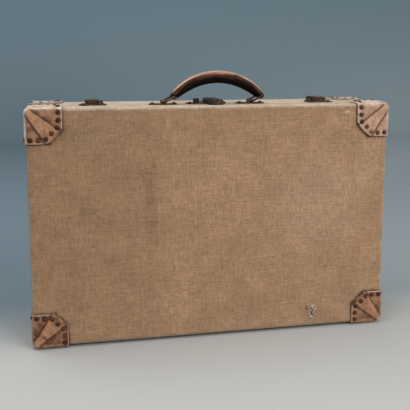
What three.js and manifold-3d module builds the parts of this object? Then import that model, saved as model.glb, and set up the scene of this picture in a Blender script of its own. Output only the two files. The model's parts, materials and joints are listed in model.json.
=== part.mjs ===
import * as THREE from "three";
import { LoftGeometry } from "three/addons/geometries/LoftGeometry.js";
import { mergeVertices } from "three/addons/utils/BufferGeometryUtils.js";
import Module from "manifold-3d";

const wasm = await Module();
wasm.setup();

// A canvas travelling case that stands on its hinge side. All lengths are in millimetres.
// X runs along the case, Y from the front face to the rear one, Z up. The seam of the two halves is at Y 0.

// The canvas outside of the closed case. The corner radius is that of the broad faces' outlines.
const trunk = {
  width: 648,
  height: 418,
  depth: 163,
  cornerRadius: 12,
  edgeRadius: 7,
  seamGap: 0.8,
};

// The layers of a wall, from outside in, and the gap between glued or seated pieces.
const wall = { canvas: 1.1, board: 4, lining: 0.8 };
const seat = 0.1;

// The board frame that stands out of the front half into the rear one on three sides.
const lip = { thickness: 2, root: 24, reach: 10, clearance: 0.3, lift: 14 };

// The leather caps: how far a flap reaches from the corner, how much of its side is straight before the
// cut corner, and how far the cut bows out.
const cap = { leather: 2.4, reach: 61, straight: 34, bow: 3 };
const nail = { radius: 3.5, crownRadius: 2.1, height: 1.6, root: 1.2, margin: 6.5, start: 7.5 };
const broadNails = 7;
const narrowNails = 6;

// The handle: an arc of leather on two wire rings that lean to the right.
const handle = {
  x: -6,
  footX: 80,
  y: -30,
  rise: 34,
  coreThickness: 6,
  coreWidth: 20,
  loopRadius: 7,
  gripHeight: 22.4,
  gripEndHeight: 15,
  gripWidth: 29,
  gripEndWidth: 21,
  gripStart: 10,
  gripRound: 2.4,
};
const ring = { wire: 1.8, width: 34, length: 21.5, bend: 4, pivotHeight: 4 };
const ringLean = THREE.MathUtils.degToRad(62);
const handlePlate = { width: 52, depth: 30, corner: 12, rivetX: 19.5, stapleWall: 2.2, stapleWidth: 18 };

// Sizes that all metal fittings share.
const fitting = {
  plate: 1.2,
  sheet: 1.2,
  rivetRadius: 3.3,
  rivetCrown: 1.9,
  rivetHeight: 2.2,
  pinRadius: 1.2,
  knuckleRadius: 2.4,
  running: 0.15,
  sliding: 0.3,
  earWidth: 2.6,
};

// What the two push latches and the middle lock have alike: the tongue under the hasp, and the bolt.
const bolt = { size: 2.2, height: 2.6, collarLength: 2, collarWidth: 6, collarHeight: 4.4 };
const tongue = { thickness: 3, eye: 2.8, lift: 0.5, margin: 1.5 };
const coil = { wire: 0.6, radius: 2 };
const coilTurns = 4;

// A fitting's own places are measured from its middle along X, and from the seam along Y. The side latches
// and the hinges keep their distance from the case's ends, and the lock its distance from the middle.
const sideLatch = {
  fromEnd: 114,
  plateFrom: -24,
  plateTo: 24,
  plateFront: -38,
  plateRear: -5,
  plateCorner: 7,
  rivetInset: 7,
  rivetY: -27,
  windowWidth: 5,
  windowX: 5.5,
  windowFront: -36.4,
  windowRear: -33.4,
  caseWidth: 24,
  caseFront: -31,
  caseRear: -8,
  caseCorner: 3,
  caseHeight: 6.6,
  boltY: -15,
  buttonFrom: -18,
  buttonTo: -14,
  buttonDepth: 6,
  buttonHeight: 5.8,
  haspWidth: 20,
  haspTip: -29,
  haspCorner: 4,
  tongueFront: -20,
  tongueRear: -10,
};
const centreLock = {
  x: 6,
  plateFrom: -48,
  plateTo: 24,
  plateFront: -36,
  plateRear: -5,
  plateCorner: 7,
  rivetInset: 5,
  rivetY: -29,
  windowWidth: 0,
  caseWidth: 26,
  caseFront: -66,
  caseRear: -8,
  caseCorner: 12.5,
  caseHeight: 6.3,
  boltY: -18,
  buttonFrom: -35,
  buttonTo: -25,
  buttonDepth: 8,
  buttonHeight: 7.5,
  haspWidth: 18,
  haspTip: -25,
  haspCorner: 8.5,
  tongueFront: -23,
  tongueRear: -13,
};
const hasp = {
  thickness: 1.5,
  pivotY: 8,
  drop: 3.2,
  leafFront: 2.5,
  leafRear: 22,
  leafCorner: 2,
  leafRivet: 2.4,
  leafRivetInset: 5,
};
const key = {
  y: -50,
  radius: 1.6,
  slotWidth: 1.3,
  slotLength: 4,
  camRadius: 3.6,
  camArm: 9,
  camArmWidth: 2.4,
};

// The two small hinges under the bottom seam.
const hinge = {
  fromEnd: 124,
  width: 60,
  leafDepth: 15,
  leaf: 0.9,
  drop: 2.2,
  pinRadius: 0.85,
  knuckleRadius: 1.55,
  relief: 2,
  rivet: 1.9,
};
const hingeKnuckleShare = 0.26;

// Spare length that makes a cut pass all the way through.
const overrun = 6;

// Counts of steps along curves.
const cornerSteps = 4;
const edgeSteps = 3;
const cornerArcSteps = 2;
const capCutSteps = 4;
const stapleSteps = 4;
const nailSides = 6;
const roundSides = 12;
const wireSides = 8;
const gripSteps = 14;
const gripSides = 12;
const coilStepsPerTurn = 8;
const coilSides = 4;

const quarterTurn = Math.PI / 2;

// The heads of the nails under the bottom are the feet, and the canvas stands above them.
const capOutside = seat + cap.leather;
const caseBottom = capOutside + nail.height;
const caseMiddle = caseBottom + trunk.height / 2;
const caseTop = caseBottom + trunk.height;
const boardInset = wall.canvas + seat;
const liningInset = boardInset + wall.board + seat;
const wallInside = liningInset + wall.lining;
const plateTop = seat + fitting.plate;

const looks = {
  canvas: { color: 0x9d8062, roughness: 0.95, metalness: 0 },
  board: { color: 0x8a6f4f, roughness: 0.9, metalness: 0 },
  lining: { color: 0xcbb894, roughness: 0.95, metalness: 0 },
  leather: { color: 0xb98c6c, roughness: 0.7, metalness: 0 },
  darkLeather: { color: 0x4a3022, roughness: 0.75, metalness: 0 },
  gripLeather: { color: 0x9b6c4b, roughness: 0.65, metalness: 0 },
  brass: { color: 0x5d4636, roughness: 0.5, metalness: 0.7 },
  wornBrass: { color: 0x7d6a55, roughness: 0.45, metalness: 0.7 },
  steel: { color: 0x6e6a64, roughness: 0.4, metalness: 0.8 },
};

// Solids: a closed geometry becomes one for a cut or a join, and a geometry again after it.
function solidOf(geometry) {
  const bare = new THREE.BufferGeometry();
  bare.setAttribute("position", geometry.attributes.position);
  bare.setIndex(geometry.index);
  const merged = mergeVertices(bare);
  const vertProperties = merged.attributes.position.array;
  const triVerts = new Uint32Array(merged.index.array);
  return new wasm.Manifold(new wasm.Mesh({ numProp: 3, vertProperties, triVerts }));
}

function geometryOf(body) {
  const mesh = body.getMesh();
  const geometry = new THREE.BufferGeometry();
  geometry.setAttribute("position", new THREE.BufferAttribute(mesh.vertProperties, 3));
  geometry.setIndex(new THREE.BufferAttribute(mesh.triVerts, 1));
  geometry.computeVertexNormals();
  return geometry;
}

function joined(...parts) {
  return geometryOf(parts.map(solidOf).reduce((sum, part) => sum.add(part)));
}

function less(whole, ...cuts) {
  return geometryOf(cuts.map(solidOf).reduce((rest, part) => rest.subtract(part), solidOf(whole)));
}

function common(...parts) {
  return geometryOf(parts.map(solidOf).reduce((rest, part) => rest.intersect(part)));
}

// Basic bodies.
function block(xs, ys, zs) {
  const [width, depth, height] = [xs, ys, zs].map(([low, high]) => high - low);
  const [x, y, z] = [xs, ys, zs].map(([low, high]) => (low + high) / 2);
  return new THREE.BoxGeometry(width, depth, height).translate(x, y, z);
}

function about(middle, size) {
  return [middle - size / 2, middle + size / 2];
}

const turnToX = new THREE.Matrix4().makeBasis(
  new THREE.Vector3(0, 1, 0),
  new THREE.Vector3(0, 0, 1),
  new THREE.Vector3(1, 0, 0),
);
const turnToY = new THREE.Matrix4().makeBasis(
  new THREE.Vector3(1, 0, 0),
  new THREE.Vector3(0, 0, 1),
  new THREE.Vector3(0, -1, 0),
);

// An outline drawn out along an axis. It is drawn in (y, z) for axis x, (x, z) for y and (x, y) for z.
// An arc in it gets two straight pieces for each curve segment.
function prism(outline, axis, [from, to], curveSegments = cornerArcSteps) {
  const body = new THREE.ExtrudeGeometry(outline, { depth: to - from, bevelEnabled: false, curveSegments });
  if (axis === "x") return body.applyMatrix4(turnToX).translate(from, 0, 0);
  if (axis === "y") return body.applyMatrix4(turnToY).translate(0, to, 0);
  return body.translate(0, 0, from);
}

function circle(radius, a = 0, b = 0) {
  return new THREE.Shape().absarc(a, b, radius, 0, 2 * Math.PI, false);
}

// A round rod along an axis, with its centre at (a, b) in the plane across it.
function rod(radius, axis, span, a = 0, b = 0) {
  return prism(circle(radius, a, b), axis, span, roundSides / 2);
}

// A rectangle with round corners, as an outline for a prism.
function roundedRectangle([left, right], [low, high], radius) {
  const outline = new THREE.Shape();
  outline.absarc(right - radius, high - radius, radius, 0, quarterTurn, false);
  outline.absarc(left + radius, high - radius, radius, quarterTurn, 2 * quarterTurn, false);
  outline.absarc(left + radius, low + radius, radius, 2 * quarterTurn, 3 * quarterTurn, false);
  outline.absarc(right - radius, low + radius, radius, 3 * quarterTurn, 4 * quarterTurn, false);
  return outline;
}

// A rectangle whose two corners on the low side are round.
function roundFronted([left, right], [low, high], radius) {
  const outline = new THREE.Shape();
  outline.moveTo(right, high);
  outline.lineTo(left, high);
  outline.absarc(left + radius, low + radius, radius, 2 * quarterTurn, 3 * quarterTurn, false);
  outline.absarc(right - radius, low + radius, radius, 3 * quarterTurn, 4 * quarterTurn, false);
  return outline;
}

// A head with a flat crown that points up, rooted below z 0.
function head(radius, crownRadius, height, root, sides) {
  const dome = new THREE.CylinderGeometry(crownRadius, radius, height, sides).translate(0, height / 2, 0);
  const shank = new THREE.CylinderGeometry(radius, radius, root, sides).translate(0, -root / 2, 0);
  return joined(dome, shank).rotateX(quarterTurn);
}

function rivet(x, y, top, radius = fitting.rivetRadius) {
  const crown = (radius * fitting.rivetCrown) / fitting.rivetRadius;
  const height = (radius * fitting.rivetHeight) / fitting.rivetRadius;
  return head(radius, crown, height, fitting.plate / 2, wireSides).translate(x, y, top);
}

// The four round corners of a rectangle, in steps: each with its place and its outward direction.
function cornerPoints(halfWidth, halfHeight, radius) {
  const points = [];
  for (let corner = 0; corner < 4; corner++) {
    const middle = (corner + 1 / 2) * quarterTurn;
    const x = Math.sign(Math.cos(middle)) * (halfWidth - radius);
    const z = Math.sign(Math.sin(middle)) * (halfHeight - radius);
    for (let step = 0; step <= cornerSteps; step++) {
      const angle = (corner + step / cornerSteps) * quarterTurn;
      const outward = new THREE.Vector3(Math.cos(angle), 0, Math.sin(angle));
      points.push({ place: new THREE.Vector3(x, 0, z).addScaledVector(outward, radius), outward });
    }
  }
  return points;
}

function roundedRing(halfWidth, halfHeight, radius, y) {
  return cornerPoints(halfWidth, halfHeight, radius).map(({ place }) => place.setY(y));
}

// The front half of the case as a solid block about the case's middle, with its outside moved in by inset.
function halfBlock(inset, seamY) {
  const edge = trunk.edgeRadius - inset;
  const section = (extra, y) =>
    roundedRing(
      trunk.width / 2 - inset - extra,
      trunk.height / 2 - inset - extra,
      trunk.cornerRadius - inset - extra,
      y,
    );
  const sections = [section(0, seamY)];
  for (let step = 0; step <= edgeSteps; step++) {
    const angle = (quarterTurn * step) / edgeSteps;
    const front = inset - trunk.depth / 2;
    sections.push(section(edge * (1 - Math.cos(angle)), front + edge * (1 - Math.sin(angle))));
  }
  return new LoftGeometry(sections, { capStart: true, capEnd: true });
}

// One layer of a half's wall, open at the seam.
function tray(inset, thickness) {
  return less(halfBlock(inset, -trunk.seamGap / 2), halfBlock(inset + thickness, overrun));
}

// The dust lip stands inside three of the walls, in strips whose upper corners are mitred. The outline
// of a strip, seen from the front, cuts it out of the frame that the three make.
function lipOutline(strip) {
  const right = trunk.width / 2;
  const top = trunk.height / 2;
  const deep = trunk.cornerRadius + overrun;
  const side = strip === "left" ? -1 : 1;
  const corners = {
    top: [
      [seat - right, top],
      [right - seat, top],
      [right - seat - deep, top - deep],
      [deep + seat - right, top - deep],
    ],
    upright: [
      [side * right, top - seat],
      [side * right, -top],
      [side * (right - deep), -top],
      [side * (right - deep), top - seat - deep],
    ],
  };
  const chosen = corners[strip === "top" ? "top" : "upright"];
  return new THREE.Shape(chosen.map(([x, z]) => new THREE.Vector2(x, z)));
}

function lipStrip(strip) {
  const inset = wallInside + lip.clearance;
  const body = (extra, from, to) =>
    new LoftGeometry(
      [to, from].map((y) =>
        roundedRing(
          trunk.width / 2 - extra,
          trunk.height / 2 - extra,
          trunk.cornerRadius - extra,
          y,
        ),
      ),
      { capStart: true, capEnd: true },
    );
  const low = -trunk.height / 2;
  const through = [-lip.root - overrun, lip.reach + overrun];
  const frame = less(
    body(inset, -lip.root, lip.reach),
    body(inset + lip.thickness, ...through),
    block(about(0, trunk.width + overrun), through, [low - overrun, low + wallInside + lip.lift]),
  );
  return common(frame, prism(lipOutline(strip), "y", through));
}

// A cap for the front top corner at the right. A flap's points are given by their distances from the corner.
const cornerX = trunk.width / 2;
const cornerY = -trunk.depth / 2;
const cornerZ = trunk.height / 2;

function flapRegion(axis, pointAt, span) {
  const outside = capOutside + overrun;
  const bow = (cap.reach + cap.straight) / 2 + cap.bow;
  const outline = new THREE.Shape();
  outline.moveTo(...pointAt(-outside, -outside));
  outline.lineTo(...pointAt(cap.reach, -outside));
  outline.lineTo(...pointAt(cap.reach, cap.straight));
  outline.quadraticCurveTo(...pointAt(bow, bow), ...pointAt(cap.straight, cap.reach));
  outline.lineTo(...pointAt(-outside, cap.reach));
  return prism(outline, axis, span, capCutSteps);
}

// Places for a row of nails along the free edges of a flap.
function nailRow(count) {
  const far = cap.reach - nail.margin;
  const bend = cap.straight + nail.margin * (1 - Math.SQRT2);
  const corners = [
    [nail.start, far],
    [bend, far],
    [far, bend],
    [far, nail.start],
  ];
  const path = new THREE.Path(corners.map(([a, b]) => new THREE.Vector2(a, b)));
  return path.getSpacedPoints(count - 1);
}

function cornerCap() {
  const outside = capOutside + overrun;
  const onFront = (a, b) => [cornerX - a, cornerZ - b];
  const onTop = (a, b) => [cornerX - a, cornerY + b];
  const onEnd = (a, b) => [cornerY + a, cornerZ - b];
  const layer = less(halfBlock(-capOutside, 0), halfBlock(-seat, overrun));
  const leather = common(
    layer,
    flapRegion("y", onFront, [cornerY - outside, cornerY + cap.reach]),
    flapRegion("z", onTop, [cornerZ - cap.reach, cornerZ + outside]),
    flapRegion("x", onEnd, [cornerX - cap.reach, cornerX + outside]),
  );
  const oneNail = head(nail.radius, nail.crownRadius, nail.height, nail.root, nailSides);
  const frontNails = nailRow(broadNails).map(({ x, y }) => {
    const [placeX, placeZ] = onFront(x, y);
    return oneNail.clone().rotateX(quarterTurn).translate(placeX, cornerY - capOutside, placeZ);
  });
  const topNails = nailRow(narrowNails).map(({ x, y }) => {
    const [placeX, placeY] = onTop(x, y);
    return oneNail.clone().translate(placeX, placeY, cornerZ + capOutside);
  });
  const endNails = nailRow(narrowNails).map(({ x, y }) => {
    const [placeY, placeZ] = onEnd(x, y);
    return oneNail.clone().rotateY(quarterTurn).translate(cornerX + capOutside, placeY, placeZ);
  });
  return joined(leather, ...frontNails, ...topNails, ...endNails);
}

// Latches and lock. Each is built about the seam on top of the canvas, with its button at the left.
function latchPlate(latch) {
  const thick = [seat, plateTop];
  const wings = roundedRectangle(
    [latch.plateFrom, latch.plateTo],
    [latch.plateFront, latch.plateRear],
    latch.plateCorner,
  );
  const rim = fitting.sheet;
  const foot = roundFronted(
    about(0, latch.caseWidth + rim),
    [latch.caseFront - rim, latch.caseRear + rim],
    latch.caseCorner + rim / 2,
  );
  const plate = joined(
    prism(wings, "z", thick),
    prism(foot, "z", thick),
    rivet(latch.plateFrom + latch.rivetInset, latch.rivetY, plateTop),
    rivet(latch.plateTo - latch.rivetInset, latch.rivetY, plateTop),
  );
  if (latch.windowWidth === 0) return plate;
  const windows = [-1, 1].map((side) =>
    block(
      about(side * latch.windowX, latch.windowWidth),
      [latch.windowFront, latch.windowRear],
      [-overrun, overrun],
    ),
  );
  return less(plate, ...windows);
}

function caseTopOf(latch) {
  return plateTop + seat + latch.caseHeight;
}

function boltZ() {
  return plateTop + bolt.height;
}

function latchCase(latch) {
  const low = plateTop + seat;
  const top = caseTopOf(latch);
  const outer = prism(
    roundFronted(about(0, latch.caseWidth), [latch.caseFront, latch.caseRear], latch.caseCorner),
    "z",
    [low, top],
  );
  const inner = prism(
    roundFronted(
      about(0, latch.caseWidth - 2 * fitting.sheet),
      [latch.caseFront + fitting.sheet, latch.caseRear - fitting.sheet],
      latch.caseCorner - fitting.sheet,
    ),
    "z",
    [low - overrun, top - fitting.sheet],
  );
  const slot = block(
    about(0, tongue.thickness + 2 * fitting.sliding),
    [latch.tongueFront - tongue.margin, latch.caseRear + overrun],
    [low - overrun, top + overrun],
  );
  const boltHole = block(
    [-latch.caseWidth / 2 - overrun, -latch.caseWidth / 2 + overrun],
    about(latch.boltY, bolt.size + 2 * fitting.sliding),
    about(boltZ(), bolt.size + 2 * fitting.sliding),
  );
  return less(outer, inner, slot, boltHole);
}

function lockCase(latch) {
  const high = [caseTopOf(latch) - fitting.sheet - overrun, caseTopOf(latch) + overrun];
  const slotY = key.y - key.slotLength / 2;
  return less(
    latchCase(latch),
    rod(key.radius, "z", high, 0, key.y),
    block(about(0, key.slotWidth), about(slotY, key.slotLength), high),
  );
}

function slideBolt(latch) {
  const tip = -tongue.thickness / 2 - fitting.sliding;
  const section = about(boltZ(), bolt.size);
  return joined(
    block([latch.buttonTo - overrun / 2, tip], about(latch.boltY, bolt.size), section),
    block(
      [tip - 2 * bolt.collarLength, tip - bolt.collarLength],
      about(latch.boltY, bolt.collarWidth),
      about(boltZ(), bolt.collarHeight),
    ),
    block(
      [latch.buttonFrom, latch.buttonTo],
      about(latch.boltY, latch.buttonDepth),
      [plateTop + fitting.sliding, plateTop + fitting.sliding + latch.buttonHeight],
    ),
  );
}

// A coil round the bolt, between the case's wall and the bolt's collar.
class Helix extends THREE.Curve {
  constructor(radius, length, turns) {
    super();
    this.radius = radius;
    this.length = length;
    this.turns = turns;
  }
  getPoint(share, target = new THREE.Vector3()) {
    const angle = 2 * Math.PI * this.turns * share;
    return target.set(this.length * share, this.radius * Math.cos(angle), this.radius * Math.sin(angle));
  }
}

function returnSpring(latch) {
  const from = -latch.caseWidth / 2 + fitting.sheet + fitting.sliding + coil.wire;
  const to = -tongue.thickness / 2 - 2 * fitting.sliding - 2 * bolt.collarLength - coil.wire;
  const path = new Helix(coil.radius, to - from, coilTurns);
  const steps = coilTurns * coilStepsPerTurn;
  const corners = Array.from({ length: coilSides }, (_, side) => {
    const angle = (side * 2 * Math.PI) / coilSides;
    return new THREE.Vector2(Math.cos(angle), Math.sin(angle)).multiplyScalar(coil.wire / 2);
  });
  const wire = new THREE.ExtrudeGeometry(new THREE.Shape(corners), { steps, extrudePath: path });
  return wire.translate(from, latch.boltY, boltZ());
}

function haspTop(latch) {
  return caseTopOf(latch) + fitting.sliding + hasp.thickness;
}

function pivotZ(latch) {
  return haspTop(latch) - hasp.drop;
}

function haspArm(latch) {
  const top = haspTop(latch);
  const z = pivotZ(latch);
  const under = top - hasp.thickness;
  const rear = hasp.pivotY + fitting.knuckleRadius;
  const width = about(0, latch.haspWidth);
  const profile = new THREE.Shape();
  profile.moveTo(latch.haspTip, under);
  profile.lineTo(hasp.pivotY - fitting.knuckleRadius, under);
  profile.lineTo(hasp.pivotY - fitting.knuckleRadius, z);
  profile.lineTo(rear, z);
  profile.lineTo(rear, under);
  profile.lineTo(hasp.pivotY, top);
  profile.lineTo(latch.haspTip, top);
  const outline = roundFronted(width, [latch.haspTip, rear + overrun], latch.haspCorner);
  const arm = common(prism(profile, "x", width), prism(outline, "z", [-overrun, top + overrun]));
  const fin = block(
    about(0, tongue.thickness),
    [latch.tongueFront, latch.tongueRear],
    [plateTop + tongue.lift, top - hasp.thickness / 2],
  );
  const eye = block(
    about(0, tongue.thickness + overrun),
    about(latch.boltY, tongue.eye),
    about(boltZ(), tongue.eye),
  );
  return less(
    joined(arm, rod(fitting.knuckleRadius, "x", width, hasp.pivotY, z), less(fin, eye)),
    rod(fitting.pinRadius + fitting.running, "x", about(0, latch.haspWidth + overrun), hasp.pivotY, z),
  );
}

// The leaf on the rear half that carries a hasp between two ears.
function haspLeaf(latch) {
  const z = pivotZ(latch);
  const half = latch.haspWidth / 2 + fitting.sliding + fitting.earWidth;
  const top = plateTop;
  const ears = [-1, 1].flatMap((side) => {
    const middle = side * (half - fitting.earWidth / 2);
    const span = about(middle, fitting.earWidth);
    const depth = about(hasp.pivotY, 2 * fitting.knuckleRadius);
    return [block(span, depth, [seat, z]), rod(fitting.knuckleRadius, "x", span, hasp.pivotY, z)];
  });
  const plate = prism(
    roundedRectangle([-half, half], [hasp.leafFront, hasp.leafRear], hasp.leafCorner),
    "z",
    [seat, top],
  );
  const rivets = [-1, 1].map((side) =>
    rivet(side * (half - hasp.leafRivetInset), hasp.leafRear - hasp.leafRivetInset, top, hasp.leafRivet),
  );
  const bore = rod(
    fitting.pinRadius + fitting.running,
    "x",
    about(0, 2 * half + overrun),
    hasp.pivotY,
    z,
  );
  return less(joined(plate, ...ears, ...rivets), bore);
}

function haspPin(latch) {
  const length = latch.haspWidth + 2 * (fitting.sliding + fitting.earWidth) + fitting.sheet;
  return rod(fitting.pinRadius, "x", about(0, length), hasp.pivotY, pivotZ(latch));
}

// The piece that the key turns, under the keyhole.
function lockCam(latch) {
  const low = plateTop + fitting.sliding;
  const top = caseTopOf(latch) - fitting.sheet - fitting.sliding;
  const drum = rod(key.camRadius, "z", [low, top], 0, key.y);
  const arm = block(about(0, key.camArmWidth), [key.y, key.y + key.camArm], [low, (low + top) / 2]);
  const slot = block(
    about(0, key.slotWidth),
    about(key.y, key.slotLength),
    [(low + top) / 2, top + overrun],
  );
  return less(joined(drum, arm), slot);
}

// Handle plates, rings and handle.
function handlePlateBody() {
  const plate = prism(
    roundedRectangle(about(0, handlePlate.width), about(0, handlePlate.depth), handlePlate.corner),
    "z",
    [seat, plateTop],
  );
  const hole = ring.wire + fitting.sliding;
  const outer = hole + handlePlate.stapleWall;
  const staple = new THREE.Shape();
  staple.moveTo(-outer, plateTop - fitting.plate / 2);
  staple.lineTo(outer, plateTop - fitting.plate / 2);
  staple.lineTo(outer, ring.pivotHeight);
  staple.absarc(0, ring.pivotHeight, outer, 0, 2 * quarterTurn, false);
  const width = about(0, handlePlate.stapleWidth);
  return less(
    joined(
      plate,
      prism(staple, "y", width, stapleSteps),
      rivet(-handlePlate.rivetX, 0, plateTop),
      rivet(handlePlate.rivetX, 0, plateTop),
    ),
    rod(hole, "y", about(0, handlePlate.stapleWidth + overrun), 0, ring.pivotHeight),
  );
}

// A closed wire loop in the YZ plane, with the middle of its lower bar at the origin.
function wireRing() {
  const path = cornerPoints(ring.width / 2, ring.length / 2, ring.bend);
  const across = new THREE.Vector3(0, 1, 0);
  const sections = path.map(({ place, outward }) => {
    const points = [];
    for (let side = 0; side < wireSides; side++) {
      const angle = (side * 2 * Math.PI) / wireSides;
      const point = place.clone();
      point.addScaledVector(outward, ring.wire * Math.cos(angle));
      point.addScaledVector(across, ring.wire * Math.sin(angle));
      points.push(point);
    }
    return points;
  });
  sections.push(sections[0]);
  return new LoftGeometry(sections).rotateZ(quarterTurn).translate(0, 0, ring.length / 2);
}

// The handle's arc, about the middle of the line between its two loops.
const halfSpan = handle.footX;
const arcRadius = (halfSpan ** 2 + handle.rise ** 2) / (2 * handle.rise);
const arcAngle = Math.asin(halfSpan / arcRadius);
const arcDrop = arcRadius - handle.rise;

function arcBand(halfThickness, halfAngle, halfWidth) {
  const start = quarterTurn + halfAngle;
  const end = quarterTurn - halfAngle;
  const band = new THREE.Shape();
  band.absarc(0, -arcDrop, arcRadius + halfThickness, start, end, true);
  band.absarc(0, -arcDrop, arcRadius - halfThickness, end, start, false);
  return prism(band, "y", [-halfWidth, halfWidth], gripSteps / 2);
}

function handleCore() {
  const width = about(0, handle.coreWidth);
  const loops = [-halfSpan, halfSpan].map((x) => rod(handle.loopRadius, "y", width, x, 0));
  const bores = [-halfSpan, halfSpan].map((x) =>
    rod(ring.wire + fitting.sliding, "y", about(0, handle.coreWidth + overrun), x, 0),
  );
  const band = arcBand(handle.coreThickness / 2, arcAngle, handle.coreWidth / 2);
  return less(joined(band, ...loops), ...bores);
}

function handleGrip() {
  const reach = arcAngle - handle.gripStart / arcRadius;
  const roundOff = handle.gripRound / arcRadius;
  const section = (angle, halfHeight, halfWidth) => {
    const out = new THREE.Vector3(Math.sin(angle), 0, Math.cos(angle));
    const centre = out.clone().multiplyScalar(arcRadius).add(new THREE.Vector3(0, 0, -arcDrop));
    const points = [];
    for (let side = 0; side < gripSides; side++) {
      const turn = (side * 2 * Math.PI) / gripSides;
      const point = centre.clone().addScaledVector(out, halfHeight * Math.cos(turn));
      points.push(point.setY(-halfWidth * Math.sin(turn)));
    }
    return points;
  };
  const sections = [];
  for (let step = 0; step <= gripSteps; step++) {
    const share = (2 * step) / gripSteps - 1;
    const slim = share ** 4;
    const halfHeight = THREE.MathUtils.lerp(handle.gripHeight, handle.gripEndHeight, slim) / 2;
    const halfWidth = THREE.MathUtils.lerp(handle.gripWidth, handle.gripEndWidth, slim) / 2;
    sections.push(section(share * reach, halfHeight, halfWidth));
  }
  const endHeight = handle.gripEndHeight / 2 - handle.gripRound / 2;
  const endWidth = handle.gripEndWidth / 2 - handle.gripRound / 2;
  sections.unshift(section(-reach - roundOff, endHeight, endWidth));
  sections.push(section(reach + roundOff, endHeight, endWidth));
  const channel = arcBand(
    handle.coreThickness / 2 + fitting.sliding,
    reach + 2 * roundOff,
    handle.coreWidth / 2 + fitting.sliding,
  );
  return less(new LoftGeometry(sections, { capStart: true, capEnd: true }), channel);
}

// Hinges: built about the pin's axis. The rear leaf has the middle knuckle, the front one the outer two.
function hingeLeaf(side, knuckles, gaps) {
  const leafLow = hinge.drop - seat - hinge.leaf;
  const leafHigh = hinge.drop - seat;
  const away = (near, far) => [side * near, side * far].sort((a, b) => a - b);
  const plate = block(about(0, hinge.width), away(0, hinge.leafDepth), [leafLow, leafHigh]);
  const barrels = knuckles.map((span) => rod(hinge.knuckleRadius, "x", span, 0, 0));
  const relief = gaps.map((span) => block(span, away(-overrun, hinge.relief), [-overrun, overrun]));
  const edge = block(about(0, hinge.width + overrun), away(-overrun, 0), [
    leafLow - seat,
    leafHigh + overrun,
  ]);
  const heads = [-1, 1].map((end) =>
    rivet(end * (hinge.width / 2 - 2 * hinge.rivet), 0, 0, hinge.rivet)
      .rotateX(2 * quarterTurn)
      .translate(0, side * (hinge.leafDepth - 2 * hinge.rivet), leafLow),
  );
  const leaf = joined(less(plate, ...relief), ...heads);
  const wrapped = joined(leaf, ...barrels.map((barrel) => less(barrel, edge)));
  const bore = rod(hinge.pinRadius + seat, "x", about(0, hinge.width + overrun), 0, 0);
  return less(wrapped, bore);
}

function hingeSpans() {
  const knuckle = hinge.width * hingeKnuckleShare;
  const half = hinge.width / 2;
  const inner = half - knuckle;
  const gap = fitting.sliding / 2;
  return {
    outer: [
      [-half, -inner - gap],
      [inner + gap, half],
    ],
    outerRelief: [
      [-half - overrun, -inner + gap],
      [inner - gap, half + overrun],
    ],
    middle: [[-inner + gap, inner - gap]],
    middleRelief: [[-inner - gap, inner + gap]],
  };
}

// The scene: each sub-part is one named mesh.
function piece(name, geometry, look) {
  const mesh = new THREE.Mesh(geometry, new THREE.MeshStandardMaterial(looks[look]));
  mesh.name = name;
  return mesh;
}

function halfCase(name, side) {
  const half = new THREE.Group();
  half.position.z = caseMiddle;
  half.scale.y = side;
  half.add(
    piece(`${name}_canvas`, tray(0, wall.canvas), "canvas"),
    piece(`${name}_shell`, tray(boardInset, wall.board), "board"),
    piece(`${name}_lining`, tray(liningInset, wall.lining), "lining"),
  );
  return half;
}

function cornerCaps(name, side, geometry) {
  const caps = new THREE.Group();
  caps.position.z = caseMiddle;
  const corners = { top_left: [-1, 1], top_right: [1, 1], bottom_left: [-1, -1], bottom_right: [1, -1] };
  for (const [corner, [x, z]] of Object.entries(corners)) {
    const mesh = piece(`${name}_corner_${corner}`, geometry, "leather");
    mesh.scale.set(x, side, z);
    caps.add(mesh);
  }
  return caps;
}

function latchGroup(name, latch, caseGeometry, x, side) {
  const group = new THREE.Group();
  group.position.set(x, 0, caseTop);
  group.scale.x = side;
  group.add(
    piece(`${name}_plate`, latchPlate(latch), "wornBrass"),
    piece(`${name}_case`, caseGeometry, "brass"),
    piece(`${name}_slide_bolt`, slideBolt(latch), "brass"),
    piece(`${name}_spring`, returnSpring(latch), "steel"),
    piece(`${name}_hasp`, haspArm(latch), "brass"),
    piece(`${name}_hasp_leaf`, haspLeaf(latch), "wornBrass"),
    piece(`${name}_hasp_pin`, haspPin(latch), "steel"),
  );
  return group;
}

function handleGroup() {
  const group = new THREE.Group();
  group.position.set(handle.x, handle.y, caseTop);
  for (const [name, side] of [
    ["left", -1],
    ["right", 1],
  ]) {
    const foot = new THREE.Group();
    foot.position.x = side * handle.footX;
    foot.add(piece(`handle_plate_${name}`, handlePlateBody(), "wornBrass"));
    const loop = piece(`handle_ring_${name}`, wireRing(), "brass");
    loop.position.z = ring.pivotHeight;
    loop.rotation.y = ringLean;
    foot.add(loop);
    group.add(foot);
  }
  const arch = new THREE.Group();
  arch.position.x = ring.length * Math.sin(ringLean);
  arch.position.z = ring.pivotHeight + ring.length * Math.cos(ringLean);
  arch.add(piece("handle_core", handleCore(), "darkLeather"));
  arch.add(piece("handle_grip", handleGrip(), "gripLeather"));
  group.add(arch);
  return group;
}

function hingeGroup(name, x) {
  const spans = hingeSpans();
  const group = new THREE.Group();
  group.position.set(x, 0, caseBottom - hinge.drop);
  group.add(
    piece(`${name}_base_leaf`, hingeLeaf(-1, spans.outer, spans.middleRelief), "wornBrass"),
    piece(`${name}_lid_leaf`, hingeLeaf(1, spans.middle, spans.outerRelief), "wornBrass"),
    piece(`${name}_pin`, rod(hinge.pinRadius, "x", about(0, hinge.width)), "steel"),
  );
  return group;
}

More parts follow.
